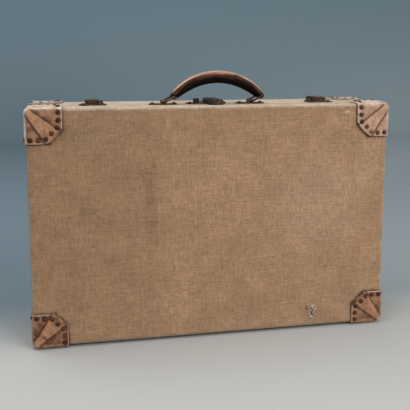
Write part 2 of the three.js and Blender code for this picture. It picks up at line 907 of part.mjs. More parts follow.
function lipGroup() {
  const group = new THREE.Group();
  group.position.z = caseMiddle;
  for (const strip of ["top", "left", "right"]) {
    group.add(piece(`dust_lip_${strip}`, lipStrip(strip), "board"));
  }
  return group;
}

const suitcase = new THREE.Group();
const capGeometry = cornerCap();
const latchX = trunk.width / 2 - sideLatch.fromEnd;
const hingeX = trunk.width / 2 - hinge.fromEnd;
suitcase.add(halfCase("base", 1), halfCase("lid", -1), lipGroup());
suitcase.add(cornerCaps("base", 1, capGeometry), cornerCaps("lid", -1, capGeometry));
suitcase.add(
  latchGroup("latch_left", sideLatch, latchCase(sideLatch), -latchX, -1),
  latchGroup("latch_right", sideLatch, latchCase(sideLatch), latchX, 1),
  latchGroup("lock", centreLock, lockCase(centreLock), centreLock.x, 1),
);
const cam = piece("lock_cam", lockCam(centreLock), "steel");
cam.position.set(centreLock.x, 0, caseTop);
suitcase.add(cam, handleGroup(), hingeGroup("hinge_left", -hingeX), hingeGroup("hinge_right", hingeX));

export default suitcase;
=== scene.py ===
import json
import math

import bpy
import numpy as np
from bpy.props import FloatProperty, FloatVectorProperty, IntProperty, PointerProperty
from mathutils import Matrix, Vector, noise


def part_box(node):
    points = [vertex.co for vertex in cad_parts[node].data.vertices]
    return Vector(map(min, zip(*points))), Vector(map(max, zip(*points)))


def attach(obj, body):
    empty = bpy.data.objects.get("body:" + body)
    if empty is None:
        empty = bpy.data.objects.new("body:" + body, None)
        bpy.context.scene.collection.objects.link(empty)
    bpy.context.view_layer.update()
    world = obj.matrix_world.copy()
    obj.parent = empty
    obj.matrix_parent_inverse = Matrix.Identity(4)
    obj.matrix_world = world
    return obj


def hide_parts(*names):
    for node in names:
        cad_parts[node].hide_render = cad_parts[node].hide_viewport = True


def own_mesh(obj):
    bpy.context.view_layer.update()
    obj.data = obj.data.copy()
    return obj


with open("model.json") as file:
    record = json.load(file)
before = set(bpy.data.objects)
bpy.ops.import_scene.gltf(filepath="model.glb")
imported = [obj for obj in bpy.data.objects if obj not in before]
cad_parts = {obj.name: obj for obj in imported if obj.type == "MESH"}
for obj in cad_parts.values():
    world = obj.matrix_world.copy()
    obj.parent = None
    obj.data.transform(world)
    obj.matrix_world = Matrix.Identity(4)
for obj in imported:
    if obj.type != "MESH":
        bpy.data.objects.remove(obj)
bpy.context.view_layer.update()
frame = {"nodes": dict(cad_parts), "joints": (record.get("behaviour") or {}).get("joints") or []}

bl_info = {
    "name": "Canvas Travelling Case",
    "version": (1, 0, 0),
    "blender": (4, 5, 0),
    "location": "3D View > Sidebar > Travelling Case",
    "description": "Dresses a canvas travelling case with leather corners and handle, latches and a lock",
    "category": "Object",
}

# Millimetres in Blender's metres.
MM = 0.001

# The canvas outside of the closed case, from the frame. The case stands on its hinge side.
CANVAS_LOW, CANVAS_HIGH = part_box("base_canvas")
HALF_WIDTH = CANVAS_HIGH.x
HALF_DEPTH = -CANVAS_LOW.y
HALF_SEAM = -CANVAS_HIGH.y
HALF_HEIGHT = (CANVAS_HIGH.z - CANVAS_LOW.z) / 2
MIDDLE = (CANVAS_HIGH.z + CANVAS_LOW.z) / 2
CASE_TOP = CANVAS_HIGH.z
JOINTS = {joint["name"]: joint for joint in frame["joints"]}

CORNERS = {"top_left": (-1, 1), "top_right": (1, 1), "bottom_left": (-1, -1), "bottom_right": (1, -1)}
HALVES = {"base": 1, "lid": -1}

# Round-off of the edges of the small fittings, and the tones of steel: rubbed, plain and dark.
FINE_EDGE = 0.2 * MM
STEEL_TONES = ((0.45, 0.43, 0.4), (0.25, 0.235, 0.22), (0.06, 0.05, 0.045))


# Sizes and colours that a user may change.


def length(name, default, description):
    return FloatProperty(name=name, description=description, default=default, unit="LENGTH", precision=5)


def colour(name, default, description):
    return FloatVectorProperty(
        name=name, description=description, default=default, size=3, min=0, max=1, subtype="COLOR"
    )


class ClothSettings(bpy.types.PropertyGroup):
    """The canvas that covers both halves."""

    corner_radius: length("Corner radius", 0.0095, "Radius of the corners of the broad faces")
    edge_radius: length("Edge radius", 0.007, "Radius of the edge round a broad face")
    thickness: length("Thickness", 0.0011, "Thickness of the canvas")
    dent_depth: length("Dent depth", 0.0007, "How far the canvas sinks between its high places")
    thread_pitch: length("Thread pitch", 0.00115, "Distance from one thread to the next")
    thread_relief: length("Thread relief", 0.00028, "Height of a thread over the gap beside it")
    base: colour("Canvas", (0.362, 0.218, 0.124), "Colour of the canvas")
    pale: colour("Bleached canvas", (0.45, 0.33, 0.23), "Colour where the canvas is bleached")
    dark: colour("Soiled canvas", (0.18, 0.10, 0.052), "Colour where the canvas is soiled")
    # The grime colour is also painted shadow along the cut edges of the caps and painted shade in the holes
    # of the torn spot.
    grime_and_shade: colour("Grime", (0.055, 0.026, 0.014), "Colour of the grime along the caps")
    # The dusty tone is also painted sheen and top light: it makes the top and the rounded edges look lit.
    dust_and_sheen: colour("Dusty canvas", (0.41, 0.337, 0.262), "Colour of the bleached and dusty top")
    thread: colour("Loose thread", (0.66, 0.60, 0.55), "Colour of clean threads where the canvas is torn")


class CapSettings(bpy.types.PropertyGroup):
    """The leather caps on the corners."""

    leather: length("Leather", 0.0024, "Thickness of the leather")
    reach: length("Reach", 0.0604, "How far a flap reaches from the corner")
    straight: length("Straight side", 0.034, "Straight length of a flap's side, before its cut corner")
    bow: length("Bow", 0.004, "How far the cut corner bows out")
    tuck: length("Tuck height", 0.00065, "How far the tucked wedge stands above the rest of the flap")
    crease: length("Crease depth", 0.0007, "Depth of the creases on both sides of the wedge")
    lump: length("Lumps", 0.0003, "Height of the soft lumps")
    wrinkle: length("Wrinkles", 0.00014, "Height of the fine wrinkles")
    dimple: length("Dimples", 0.0004, "Depth of the dimple round a nail")
    roll: length("Rolled edge", 0.0009, "How far the cut edge is rolled down")
    base: colour("Leather colour", (0.405, 0.202, 0.106), "Colour of the cap leather")
    # The crease colour is painted shade in the creases and round the nails, as well as dirt.
    dark: colour("Crease colour", (0.080, 0.027, 0.012), "Colour in the creases")
    # The soiled colour also carries painted shade beside the creases and painted shadow round the nails.
    darkened: colour("Soiled leather", (0.112, 0.043, 0.025), "Colour where the leather is soiled")
    red: colour("Flushed leather", (0.27, 0.095, 0.036), "Colour of the reddish patches of the leather")
    # The dusty tone is also painted sheen and top light on the tops of the upper caps.
    dust_and_sheen: colour("Dusty leather", (0.42, 0.35, 0.285), "Colour of the bleached and dusty tops of the caps")
    # The bleached edge colour is also a painted highlight along the rounded outer edges of the upper caps.
    rim: colour("Bleached edge", (0.66, 0.53, 0.43), "Colour of the bleached outer edges")
    pale: colour("Worn leather", (0.52, 0.37, 0.27), "Colour of cut edges and of worn places")


class NailSettings(bpy.types.PropertyGroup):
    """The domed nails that hold the caps."""

    radius: length("Nail radius", 0.0036, "Radius of a nail head")
    height: length("Nail height", 0.00149, "Height of a nail head above the leather")
    margin: length("Nail margin", 0.0065, "Distance from a nail to the edge of its flap")
    start: length("First nail", 0.0075, "Distance from the first nail to the corner edge")
    broad_count: IntProperty(name="Broad flap nails", description="Nails on a broad flap", default=7)
    narrow_count: IntProperty(name="Narrow flap nails", description="Nails on a narrow flap", default=6)
    base: colour("Nail colour", (0.15, 0.062, 0.028), "Colour of the nails")
    # The tarnish colour is also painted shade on the sides of the nail and rivet heads, whose crowns take
    # the lighter nail colour as a painted highlight.
    dark: colour("Nail tarnish", (0.016, 0.0045, 0.002), "Colour of the dark nails")
    faded: colour("Faded nail", (0.25, 0.135, 0.082), "Colour of a nail whose finish is gone")


class HandleSettings(bpy.types.PropertyGroup):
    """The leather handle and its rings."""

    grip_height: length("Grip height", 0.0224, "Height of the grip in the middle")
    grip_end_height: length("Grip end height", 0.015, "Height of the grip at its ends")
    grip_width: length("Grip width", 0.029, "Width of the grip in the middle")
    grip_end_width: length("Grip end width", 0.021, "Width of the grip at its ends")
    grip_start: length("Grip start", 0.0016, "Distance from the middle of a loop to the end of the grip")
    strap: length("Strap thickness", 0.006, "Thickness of the strap in the grip")
    strap_width: length("Strap width", 0.020, "Width of the strap in the grip")
    loop_radius: length("Loop radius", 0.0056, "Outer radius of a loop of the strap")
    loop_bore: length("Loop bore", 0.0021, "Radius of the bore of a loop")
    wire: length("Ring wire", 0.0018, "Radius of the wire of a ring")
    ring_width: length("Ring width", 0.034, "Width of a ring, between the middles of its side bars")
    ring_bend: length("Ring bend", 0.004, "Radius of the bends of a ring")
    # The grip is lighter on top and near black underneath: painted highlight and painted shade, as well as
    # rubbing and soil.
    top: colour("Grip top", (0.40, 0.285, 0.23), "Colour of the rubbed top of the grip")
    tan: colour("Grip tan", (0.27, 0.105, 0.040), "Colour of the streaks of tan left on the grip")
    side: colour("Grip side", (0.060, 0.021, 0.011), "Colour of the side of the grip")
    strap_tone: colour("Strap", (0.085, 0.032, 0.016), "Colour of the strap where it shows")
    # The underside colour is also painted shade under the grip and inside its open ends.
    under: colour("Grip underside", (0.0048, 0.0022, 0.0016), "Colour of the soiled underside of the grip")


class MetalSettings(bpy.types.PropertyGroup):
    """Plates, latches, lock and hinges."""

    plate: length("Plate height", 0.0013, "Height of the top of a plate above the canvas")
    rivet_height: length("Rivet height", 0.0027, "Height of a large rivet head")
    round_off: length("Edge round-off", 0.00035, "Round-off of the edges of sheet metal")
    bright: colour("Rubbed metal", (0.46, 0.30, 0.20), "Colour where the metal is rubbed")
    base: colour("Metal", (0.095, 0.044, 0.022), "Colour of the tarnished metal")
    dark: colour("Tarnish", (0.010, 0.0055, 0.0035), "Colour of the dark tarnish")


class InsideSettings(bpy.types.PropertyGroup):
    """Board, lining and dust lip."""

    board: colour("Board", (0.30, 0.205, 0.125), "Colour of the board")
    lining: colour("Lining", (0.52, 0.43, 0.31), "Colour of the lining cloth")
    stripe: colour("Lining stripe", (0.33, 0.235, 0.155), "Colour of the stripes of the lining cloth")
    stripe_pitch: length("Stripe pitch", 0.014, "Distance from one stripe to the next")
    lining_thickness: length("Lining thickness", 0.0008, "Thickness of the lining cloth")
    thread_pitch: length("Lining thread pitch", 0.0007, "Distance from one thread of the lining to the next")


class StudioSettings(bpy.types.PropertyGroup):
    """The camera."""

    camera_place: FloatVectorProperty(
        name="Camera place",
        description="Where the camera stands",
        default=(-0.25485, -1.245, 0.50394),
        size=3,
        subtype="TRANSLATION",
        unit="LENGTH",
    )
    camera_turn: FloatVectorProperty(
        name="Camera turn",
        description="Turn to the right, tilt down and roll of the camera",
        default=(math.radians(11.418), math.radians(8.4915), math.radians(-0.0438)),
        size=3,
        subtype="EULER",
        unit="ROTATION",
    )
    lens: FloatProperty(name="Lens", description="Focal length in millimetres", default=59.99)
    shift: FloatVectorProperty(
        name="Shift", description="Shift of the camera's frame", default=(0.0, -0.1098), size=2
    )


class CaseSettings(bpy.types.PropertyGroup):
    """All settings of the travelling case."""

    cloth: PointerProperty(type=ClothSettings)
    caps: PointerProperty(type=CapSettings)
    nails: PointerProperty(type=NailSettings)
    handle: PointerProperty(type=HandleSettings)
    metal: PointerProperty(type=MetalSettings)
    inside: PointerProperty(type=InsideSettings)
    studio: PointerProperty(type=StudioSettings)


def settings():
    return bpy.context.scene.travelling_case


# Meshes.


class Net:
    """Points and faces of a sheet that is laid out in patches, welded where the patches meet."""

    def __init__(self):
        self.points = []
        self.faces = []
        self.maps = []
        self.notes = []
        self.known = {}

    def point(self, place, note):
        key = tuple(round(value * 1e6) for value in place)
        if key not in self.known:
            self.known[key] = len(self.points)
            self.points.append(place)
            self.notes.append(note)
        return self.known[key]

    def patch(self, rows, to_space, to_map, turned=False, kind=None):
        """Lays a grid of flat places (a, b). The map of a place is its cloth coordinate, in metres."""
        numbers = [[self.point(to_space(a, b), (kind, a, b)) for a, b in row] for row in rows]
        for row in range(len(rows) - 1):
            for k in range(len(rows[row]) - 1):
                corners = [(row, k), (row, k + 1), (row + 1, k + 1), (row + 1, k)]
                face = [numbers[r][c] for r, c in corners]
                chart = [to_map(*rows[r][c]) for r, c in corners]
                kept = [m for m in range(4) if face[m] not in face[:m]]
                if len(kept) < 3:
                    continue
                kept = kept[::-1] if turned else kept
                self.faces.append([face[m] for m in kept])
                self.maps.append([chart[m] for m in kept])

    def array(self):
        return np.array(self.points, float)


def thickened(faces, maps, count):
    """Faces of a closed solid over a sheet. The inner points follow the outer ones, in the same order."""
    edges = {}
    for face, chart in zip(faces, maps):
        for k in range(len(face)):
            after = (k + 1) % len(face)
            edges[face[k], face[after]] = (chart[k], chart[after])
    solid = list(faces) + [[n + count for n in reversed(face)] for face in faces]
    charts = list(maps) + [list(reversed(chart)) for chart in maps]
    for (a, b), (map_a, map_b) in edges.items():
        if (b, a) not in edges:
            solid.append([b, a, a + count, b + count])
            charts.append([map_b, map_a, map_a, map_b])
    return solid, charts


def mirrored(points, signs):
    """Points of the front top right corner, at another corner or in the other half."""
    middle = np.array((0, 0, MIDDLE))
    return (points - middle) * np.array(signs) + middle


def solid_sheet(net, outside, inside, signs):
    """Points, faces and maps of a closed sheet, mirrored from the front top right corner to its place."""
    faces, maps = thickened(net.faces, net.maps, len(outside))
    if math.prod(signs) < 0:
        faces, maps = [f[::-1] for f in faces], [m[::-1] for m in maps]
    return mirrored(np.concatenate([outside, inside]), signs), faces, maps


def merged(shapes):
    """Joins shapes, each by its points and faces, into one."""
    points, faces = [], []
    for shape_points, shape_faces in shapes:
        faces += [[n + len(points) for n in face] for face in shape_faces]
        points += list(shape_points)
    return points, faces


def circle_steps(count):
    return [2 * math.pi * k / count for k in range(count)]


def round_wire(path, radius, sides, closed=False, taper=0.0):
    """Points and faces of a round wire along a path. It may be a closed loop, or thinner at its end."""
    count = len(path)
    points, faces = [], []
    for k, place in enumerate(path):
        before, after = (k - 1, (k + 1) % count) if closed else (max(k - 1, 0), min(k + 1, count - 1))
        along = (path[after] - path[before]).normalized()
        across = along.orthogonal() if k == 0 else across
        across = (across - along * across.dot(along)).normalized()
        other = along.cross(across)
        size = radius * (1 - taper * (k / (count - 1)) ** 2)
        points += [place + size * (across * math.cos(t) + other * math.sin(t)) for t in circle_steps(sides)]
    for k in range(count if closed else count - 1):
        low, high = k * sides, (k + 1) % count * sides
        for side in range(sides):
            turn = (side + 1) % sides
            faces.append((low + side, low + turn, high + turn, high + side))
    if not closed:
        faces += [tuple(reversed(range(sides))), tuple(range((count - 1) * sides, count * sides))]
    return points, faces


def place_object(name, mesh, material, body, replaces=()):
    """Adds a piece to the scene and says which body carries it."""
    mesh.materials.clear()
    mesh.materials.append(material)
    piece = bpy.data.objects.new(name, mesh)
    bpy.context.scene.collection.objects.link(piece)
    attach(piece, body)
    if replaces:
        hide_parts(*replaces)
    return piece


def mesh_of(name, points, faces, maps=None, notes=None, flat_angle=40.0):
    """A smooth shaded mesh with a cloth map and with named values at its points."""
    mesh = bpy.data.meshes.new(name)
    mesh.from_pydata([tuple(p) for p in points], [], faces)
    if maps is not None:
        layer = mesh.uv_layers.new(name="cloth")
        layer.data.foreach_set("uv", np.array([c for chart in maps for c in chart], np.float32).ravel())
    for key, values in (notes or {}).items():
        attribute = mesh.attributes.new(key, "FLOAT", "POINT")
        attribute.data.foreach_set("value", np.asarray(values, np.float32))
    mesh.validate()
    mesh.polygons.foreach_set("use_smooth", [True] * len(mesh.polygons))
    mesh.set_sharp_from_angle(angle=math.radians(flat_angle))
    return mesh


def finish_node(node, material, round_off=0.0):
    """Gives a carried-over solid its material and, where asked, rounded edges."""
    piece = frame["nodes"][node]
    for slot in piece.material_slots:
        slot.material = material
    if round_off:
        bevel = piece.modifiers.new("round off", "BEVEL")
        bevel.width = round_off
        bevel.segments = 2
        bevel.limit_method = "ANGLE"
        bevel.angle_limit = math.radians(35)
        bevel.use_clamp_overlap = True


def distance_to_canvas(points):
    """How far points lie outside the canvas of the closed case. It is negative inside."""
    cloth = settings().cloth
    x, y, z = np.abs(points - np.array((0, 0, MIDDLE))).T
    across = np.stack([x - HALF_WIDTH, z - HALF_HEIGHT], 1) + cloth.corner_radius
    outline = np.hypot(*np.maximum(across, 0).T) + np.minimum(across.max(1), 0) - cloth.corner_radius
    edge = np.stack([outline, y - HALF_DEPTH], 1) + cloth.edge_radius
    return np.hypot(*np.maximum(edge, 0).T) + np.minimum(edge.max(1), 0) - cloth.edge_radius


def laid_on(points, level):
    """Points of the sharp-edged case moved to a level above the rounded canvas, and the way out there."""
    steps = 1e-6 * np.eye(3)
    rise = [distance_to_canvas(points + step) - distance_to_canvas(points - step) for step in steps]
    way = np.stack(rise, 1)
    way /= np.linalg.norm(way, axis=1, keepdims=True)
    return points + way * (level - distance_to_canvas(points))[:, None], way


def grain(places, size, seed):
    """Smooth noise from -1 to 1, with features of about that size."""
    offset = Vector((seed * 7.3, seed * 3.1, seed * 5.7))
    return np.array([noise.noise(Vector(p) / size + offset) for p in places])


def smooth_share(value, low, high):
    part = np.clip((value - low) / (high - low), 0, 1)
    return part * part * (3 - 2 * part)


def all_corners():
    """Each corner of both halves: its half, its name, its signs and its number from 1."""
    number = 0
    for half, side in HALVES.items():
        for corner, (x, z) in CORNERS.items():
            number += 1
            yield half, corner, (x, side, z), number


# Materials.


class Finish:
    """A procedural material in the making. Each method adds one node and gives its output."""

    def __init__(self, name, roughness=0.6, metallic=0.0, specular=0.5):
        self.material = bpy.data.materials.new(name)
        self.material.use_nodes = True
        self.tree = self.material.node_tree
        self.shader = self.tree.nodes["Principled BSDF"]
        self.relief = None
        self.set(Roughness=roughness, Metallic=metallic, Specular_IOR_Level=specular)

    def set(self, **constants):
        for key, value in constants.items():
            socket = self.shader.inputs[key.replace("_", " ")]
            socket.default_value = (*value, 1.0) if hasattr(value, "__len__") else value

    def node(self, kind, inputs, output=0, **options):
        made = self.tree.nodes.new(kind)
        for key, value in options.items():
            setattr(made, key, value)
        for key, value in inputs.items():
            if value is None:
                continue
            socket = made.inputs[key]
            if isinstance(value, bpy.types.NodeSocket):
                self.tree.links.new(value, socket)
            elif hasattr(value, "__len__") and socket.type == "RGBA":
                socket.default_value = (*value[:3], 1.0)
            else:
                socket.default_value = value
        return made.outputs[output]

    def math(self, operation, a, b=None, c=None, clamp=False):
        return self.node("ShaderNodeMath", {0: a, 1: b, 2: c}, operation=operation, use_clamp=clamp)

    def folded(self, operation, values):
        """One operation over all values, from the first to the last."""
        total, *others = values
        for value in others:
            total = self.math(operation, total, value)
        return total

    def plus(self, *values):
        return self.folded("ADD", values)

    def times(self, *values):
        return self.folded("MULTIPLY", values)

    def largest(self, *values):
        return self.folded("MAXIMUM", values)

    def smallest(self, *values):
        return self.folded("MINIMUM", values)

    def minus(self, a, b):
        return self.math("SUBTRACT", a, b)

    def times_plus(self, a, b, c, clamp=False):
        return self.math("MULTIPLY_ADD", a, b, c, clamp)

    def size(self, value):
        """A value without its sign."""
        return self.math("ABSOLUTE", value)

    def vector(self, operation, a, b=None):
        output = 1 if operation == "LENGTH" else 0
        return self.node("ShaderNodeVectorMath", {0: a, 1: b}, output, operation=operation)

    def place(self):
        """Where a point lies on its piece, in metres."""
        return self.node("ShaderNodeTexCoord", {}, "Object")

    def chart(self):
        """The cloth map of a piece, in metres."""
        return self.node("ShaderNodeUVMap", {}, uv_map="cloth")

    def value(self, name):
        """A named value of the piece's points."""
        return self.node("ShaderNodeAttribute", {}, "Fac", attribute_name=name)

    def parts(self, vector):
        node = self.tree.nodes.new("ShaderNodeSeparateXYZ")
        self.tree.links.new(vector, node.inputs[0])
        return node.outputs

    def noise(self, where, scale, detail=2, roughness=0.5):
        """Noise with about that many features in a metre. A scale of three numbers stretches it."""
        if hasattr(scale, "__len__"):
            where, scale = self.vector("MULTIPLY", where, scale), 1
        inputs = {"Vector": where, "Scale": scale, "Detail": detail, "Roughness": roughness}
        return self.node("ShaderNodeTexNoise", inputs)

    def crossed(self, chart, along, across, detail=2, roughness=0.5):
        """Two noises on a chart, each stretched along one way of the cloth."""
        threads = ((along, across, 1), (across, along, 1))
        return self.plus(*(self.noise(chart, scale, detail, roughness) for scale in threads))

    def cells(self, where, scale):
        """Distance to the nearest border of a pattern of cells."""
        inputs = {"Vector": where, "Scale": scale}
        return self.node("ShaderNodeTexVoronoi", inputs, "Distance", feature="DISTANCE_TO_EDGE")

    def spread(self, value, low, high, to_low=0.0, to_high=1.0):
        """Moves a value from one range to another, with soft ends."""
        inputs = {"Value": value, "From Min": low, "From Max": high, "To Min": to_low, "To Max": to_high}
        return self.node("ShaderNodeMapRange", inputs, interpolation_type="SMOOTHSTEP")

    def mix(self, part, a, b):
        return self.node("ShaderNodeMix", {0: part, 6: a, 7: b}, 2, data_type="RGBA", clamp_result=False)

    def shade(self, tone, value):
        """A colour, made lighter or darker by a value about 1."""
        grey = self.node("ShaderNodeCombineXYZ", {0: value, 1: value, 2: value})
        return self.vector("MULTIPLY", tone, grey)

    def bump(self, height, distance, strength):
        inputs = {"Height": height, "Distance": distance, "Strength": strength, "Normal": self.relief}
        self.relief = self.node("ShaderNodeBump", inputs)

    def done(self, tone, roughness=None):
        for key, value in (("Base Color", tone), ("Roughness", roughness), ("Normal", self.relief)):
            if value is not None:
                self.tree.links.new(value, self.shader.inputs[key])
        return self.material


def weave_height(finish, chart, pitch):
    """Height of a plain weave, from 0 in a gap to 1 on a thread."""
    across, along, _ = finish.parts(finish.vector("MULTIPLY", chart, (1 / pitch, 1 / pitch, 1)))
    warp, weft = (finish.size(finish.math("SINE", finish.times(run, math.pi))) for run in (across, along))
    cells = finish.plus(finish.math("FLOOR", across), finish.math("FLOOR", along))
    over = finish.math("FLOORED_MODULO", cells, 2)
    warp_up = finish.times(warp, finish.times_plus(weft, 0.5, 0.5))
    weft_up = finish.times(weft, finish.times_plus(warp, 0.5, 0.5))
    return finish.times_plus(finish.minus(warp_up, weft_up), over, weft_up)


def inward_distances(finish, place):
    """Distances of a point from the planes of the case's sides: an end, a broad face, the top or bottom."""
    outward = finish.vector("ABSOLUTE", finish.vector("SUBTRACT", place, (0, 0, MIDDLE)))
    return finish.parts(finish.vector("SUBTRACT", (HALF_WIDTH, HALF_DEPTH, HALF_HEIGHT), outward))


# Marks on the front of the canvas: tone, place (x, z), half width, half height and strength. Each goes
# as deep as MARK_DEPTH. The last two marks, in the grime colour, are painted shade of holes in the torn
# spot.
MARK_DEPTH = 83.3 * MM
MARKS = (
    ("dark", -0.116, 0.251, 0.016, 0.130, 0.30),
    ("dark", -0.060, 0.330, 0.050, 0.040, 0.10),
    # The broad dark mark at the left is painted shade: the left of the front is darker, as less light falls
    # there.
    ("dark", -0.260, 0.250, 0.230, 0.330, 0.34),
    ("dark", 0.1498, 0.3419, 0.0016, 0.0016, 0.75),
    ("dark", 0.3155, 0.2943, 0.0016, 0.0020, 0.70),
    ("dark", 0.060, 0.055, 0.090, 0.030, 0.12),
    ("dark", -0.060, 0.430, 0.560, 0.110, 0.16),
    ("dark", 0.184, 0.034, 0.020, 0.022, 0.22),
    ("pale", 0.2436, 0.4071, 0.0085, 0.0045, 0.95),
    ("pale", 0.1606, 0.0923, 0.0030, 0.0030, 0.95),
    ("pale", 0.190, 0.240, 0.120, 0.110, 0.22),
    ("pale", 0.285, 0.300, 0.030, 0.080, 0.20),
    ("grime_and_shade", 0.1853, 0.0300, 0.0030, 0.0058, 1.0),
    ("grime_and_shade", 0.1740, 0.0400, 0.0022, 0.0050, 0.85),
)

# A faint dark line along the top: how far in front of the seam it crosses the middle, and its slope.
TOP_LINE_SLOPE = 0.085
TOP_LINE_PLACE = 44 * MM


def front_mark(finish, place, x, z, across, up, strength):
    """A soft mark on the front at (x, z), with its half width and half height, from 0 to its strength."""
    offset = finish.vector("SUBTRACT", place, (x, -HALF_DEPTH, z))
    size = finish.vector("LENGTH", finish.vector("MULTIPLY", offset, (1 / across, 1 / MARK_DEPTH, 1 / up)))
    return finish.spread(size, 0.35, 1, strength, 0)


def canvas_finish():
    cloth = settings().cloth
    finish = Finish("worn canvas", roughness=0.92, specular=0.25)
    finish.set(Sheen_Weight=0.12, Sheen_Roughness=0.4, Sheen_Tint=(1.0, 0.88, 0.76))
    chart, place = finish.chart(), finish.place()
    x, y, height = finish.parts(place)
    gaps = inward_distances(finish, place)
    threads = weave_height(finish, chart, cloth.thread_pitch)
    slubs = finish.crossed(chart, 80, 560, 3, 0.62)
    coarse = finish.crossed(chart, 24, 230)
    shading = finish.times(
        finish.spread(slubs, 0.62, 1.38, 0.74, 1.28),
        finish.spread(coarse, 0.65, 1.35, 0.88, 1.12),
        finish.spread(finish.noise(place, 22, 4, 0.6), 0.25, 0.75, 0.9, 1.1),
        finish.spread(threads, 0, 0.9, 0.8, 1.06),
    )
    darkened = finish.spread(finish.noise(place, 6, 4, 0.65), 0.56, 0.8, 0, 0.3)
    bleached = finish.spread(finish.noise(place, (4.5, 4.5, 7.65), 3, 0.6), 0.52, 0.82, 0, 0.3)
    tone = finish.mix(bleached, cloth.base, cloth.pale)
    tone = finish.mix(darkened, tone, cloth.dark)
    for kind, *values in MARKS:
        tone = finish.mix(front_mark(finish, place, *values), tone, getattr(cloth, kind))
    nearest, farthest, total = finish.smallest(*gaps), finish.largest(*gaps), finish.plus(*gaps)
    from_edge = finish.minus(finish.minus(total, nearest), farthest)
    patches = finish.spread(finish.noise(place, 35, 3, 0.6), 0.25, 0.6, 0.55, 1)
    # The rounded edges turn pale: wear, and a painted highlight where they catch the light.
    brightened = finish.times(finish.spread(from_edge, 6 * MM, 0.5 * MM, 0, 0.85), patches)
    tone = finish.mix(brightened, tone, cloth.dust_and_sheen)
    # The top is paler: dust, and painted sheen and top light.
    on_top = finish.spread(height, CASE_TOP - 7 * MM, CASE_TOP - 1 * MM, 0, 0.9)
    tone = finish.mix(finish.times(on_top, patches), tone, cloth.dust_and_sheen)
    from_line = finish.size(finish.times_plus(x, TOP_LINE_SLOPE, finish.plus(y, TOP_LINE_PLACE)))
    line = finish.spread(from_line, 2 * MM, 9 * MM, 0.55, 0)
    tone = finish.mix(finish.times(line, on_top, patches), tone, cloth.dark)
    # Grime and painted shadow along the outline of the caps.
    tone = finish.mix(cap_dirt_and_shadow(finish, place, farthest, total), tone, cloth.grime_and_shade)
    finish.bump(threads, cloth.thread_relief, 0.8)
    finish.bump(slubs, 0.5 * MM, 0.7)
    return finish.done(finish.shade(tone, shading))


def cap_dirt_and_shadow(finish, place, farthest, total):
    """Grime and painted shadow on the canvas along the outline of the corner caps, from 0 to 1: a dark line
    at the cut edge of a cap and a softer halo beyond it.
    """
    caps = settings().caps
    cut = finish.times(finish.minus(total, caps.reach + caps.straight), math.sqrt(0.5))
    beyond = finish.largest(finish.minus(farthest, caps.reach), finish.minus(cut, caps.bow))
    line = finish.spread(beyond, 1.6 * MM, 3.6 * MM, 0.97, 0)
    halo = finish.spread(beyond, 1 * MM, 9 * MM, 0.35, 0)
    patches = finish.spread(finish.noise(place, 60, 3), 0.25, 0.7, 0.35, 1)
    return finish.times(finish.largest(line, halo), patches)


def leather_grain(finish, place, chart, mottle):
    """Relief of smooth cowhide: fine cells, soft lumps and scuffs."""
    finish.bump(finish.spread(finish.cells(place, 950), 0, 0.22), 0.12 * MM, 0.5)
    finish.bump(mottle, 0.9 * MM, 0.35)
    finish.bump(finish.noise(chart, (900, 60, 1), 3, 0.7), 0.15 * MM, 0.35)


# Two creases of a flap, each by two flat places in millimetres. The tucked wedge lies between them.
CREASES = (((8, 2), (53, 35)), ((3, 15), (31, 58)))


def crease_planes():
    """For each crease (run, rise, offset): run b - rise a - offset is the distance into the wedge."""
    planes = []
    for ((a0, b0), (a1, b1)), sign in zip(CREASES, (1, -1)):
        run, rise = sign * (a1 - a0), sign * (b1 - b0)
        size = math.hypot(run, rise)
        run, rise = run / size, rise / size
        planes.append((run, rise, (run * b0 - rise * a0) * MM))
    return planes


def crease_marks(finish, place, chart):
    """Three values round the creases of a cap: dark lines, the dark band beside them and the flushed skin.
    The lines are painted shade in the creases as well as dirt, and the band is painted shade outside the
    raised wedge as well as dirt.
    """
    wobble = finish.spread(finish.noise(place, 110, 3, 0.6), 0.2, 0.8, -0.7 * MM, 0.7 * MM)
    flap_a, flap_b, _ = finish.parts(finish.vector("ABSOLUTE", chart))
    lines, shade_and_dirt_bands, flushes = [], [], []
    for number, (run, rise, offset) in enumerate(crease_planes()):
        away = finish.times_plus(flap_a, -rise, finish.times_plus(flap_b, run, -offset))
        away = finish.plus(away, wobble)
        lines.append(finish.spread(finish.size(away), 0.5 * MM, 2.6 * MM, 0.95, 0))
        outside = finish.spread(away, -12 * MM, -0.5 * MM)
        shade_and_dirt_bands.append(finish.times(outside, finish.spread(away, -0.2 * MM, 1.4 * MM, 1, 0)))
        flushes.append(finish.spread(finish.size(finish.plus(away, 1.5 * MM)), 1 * MM, 6 * MM, 0.8, 0))
        if number == 0:
            for step in (1, 2):
                beside = finish.size(finish.plus(away, step * 2.1 * MM))
                lines.append(finish.spread(beside, 0.2 * MM, 0.8 * MM, 0.55 - 0.15 * step, 0))
    return (finish.largest(*values) for values in (lines, shade_and_dirt_bands, flushes))


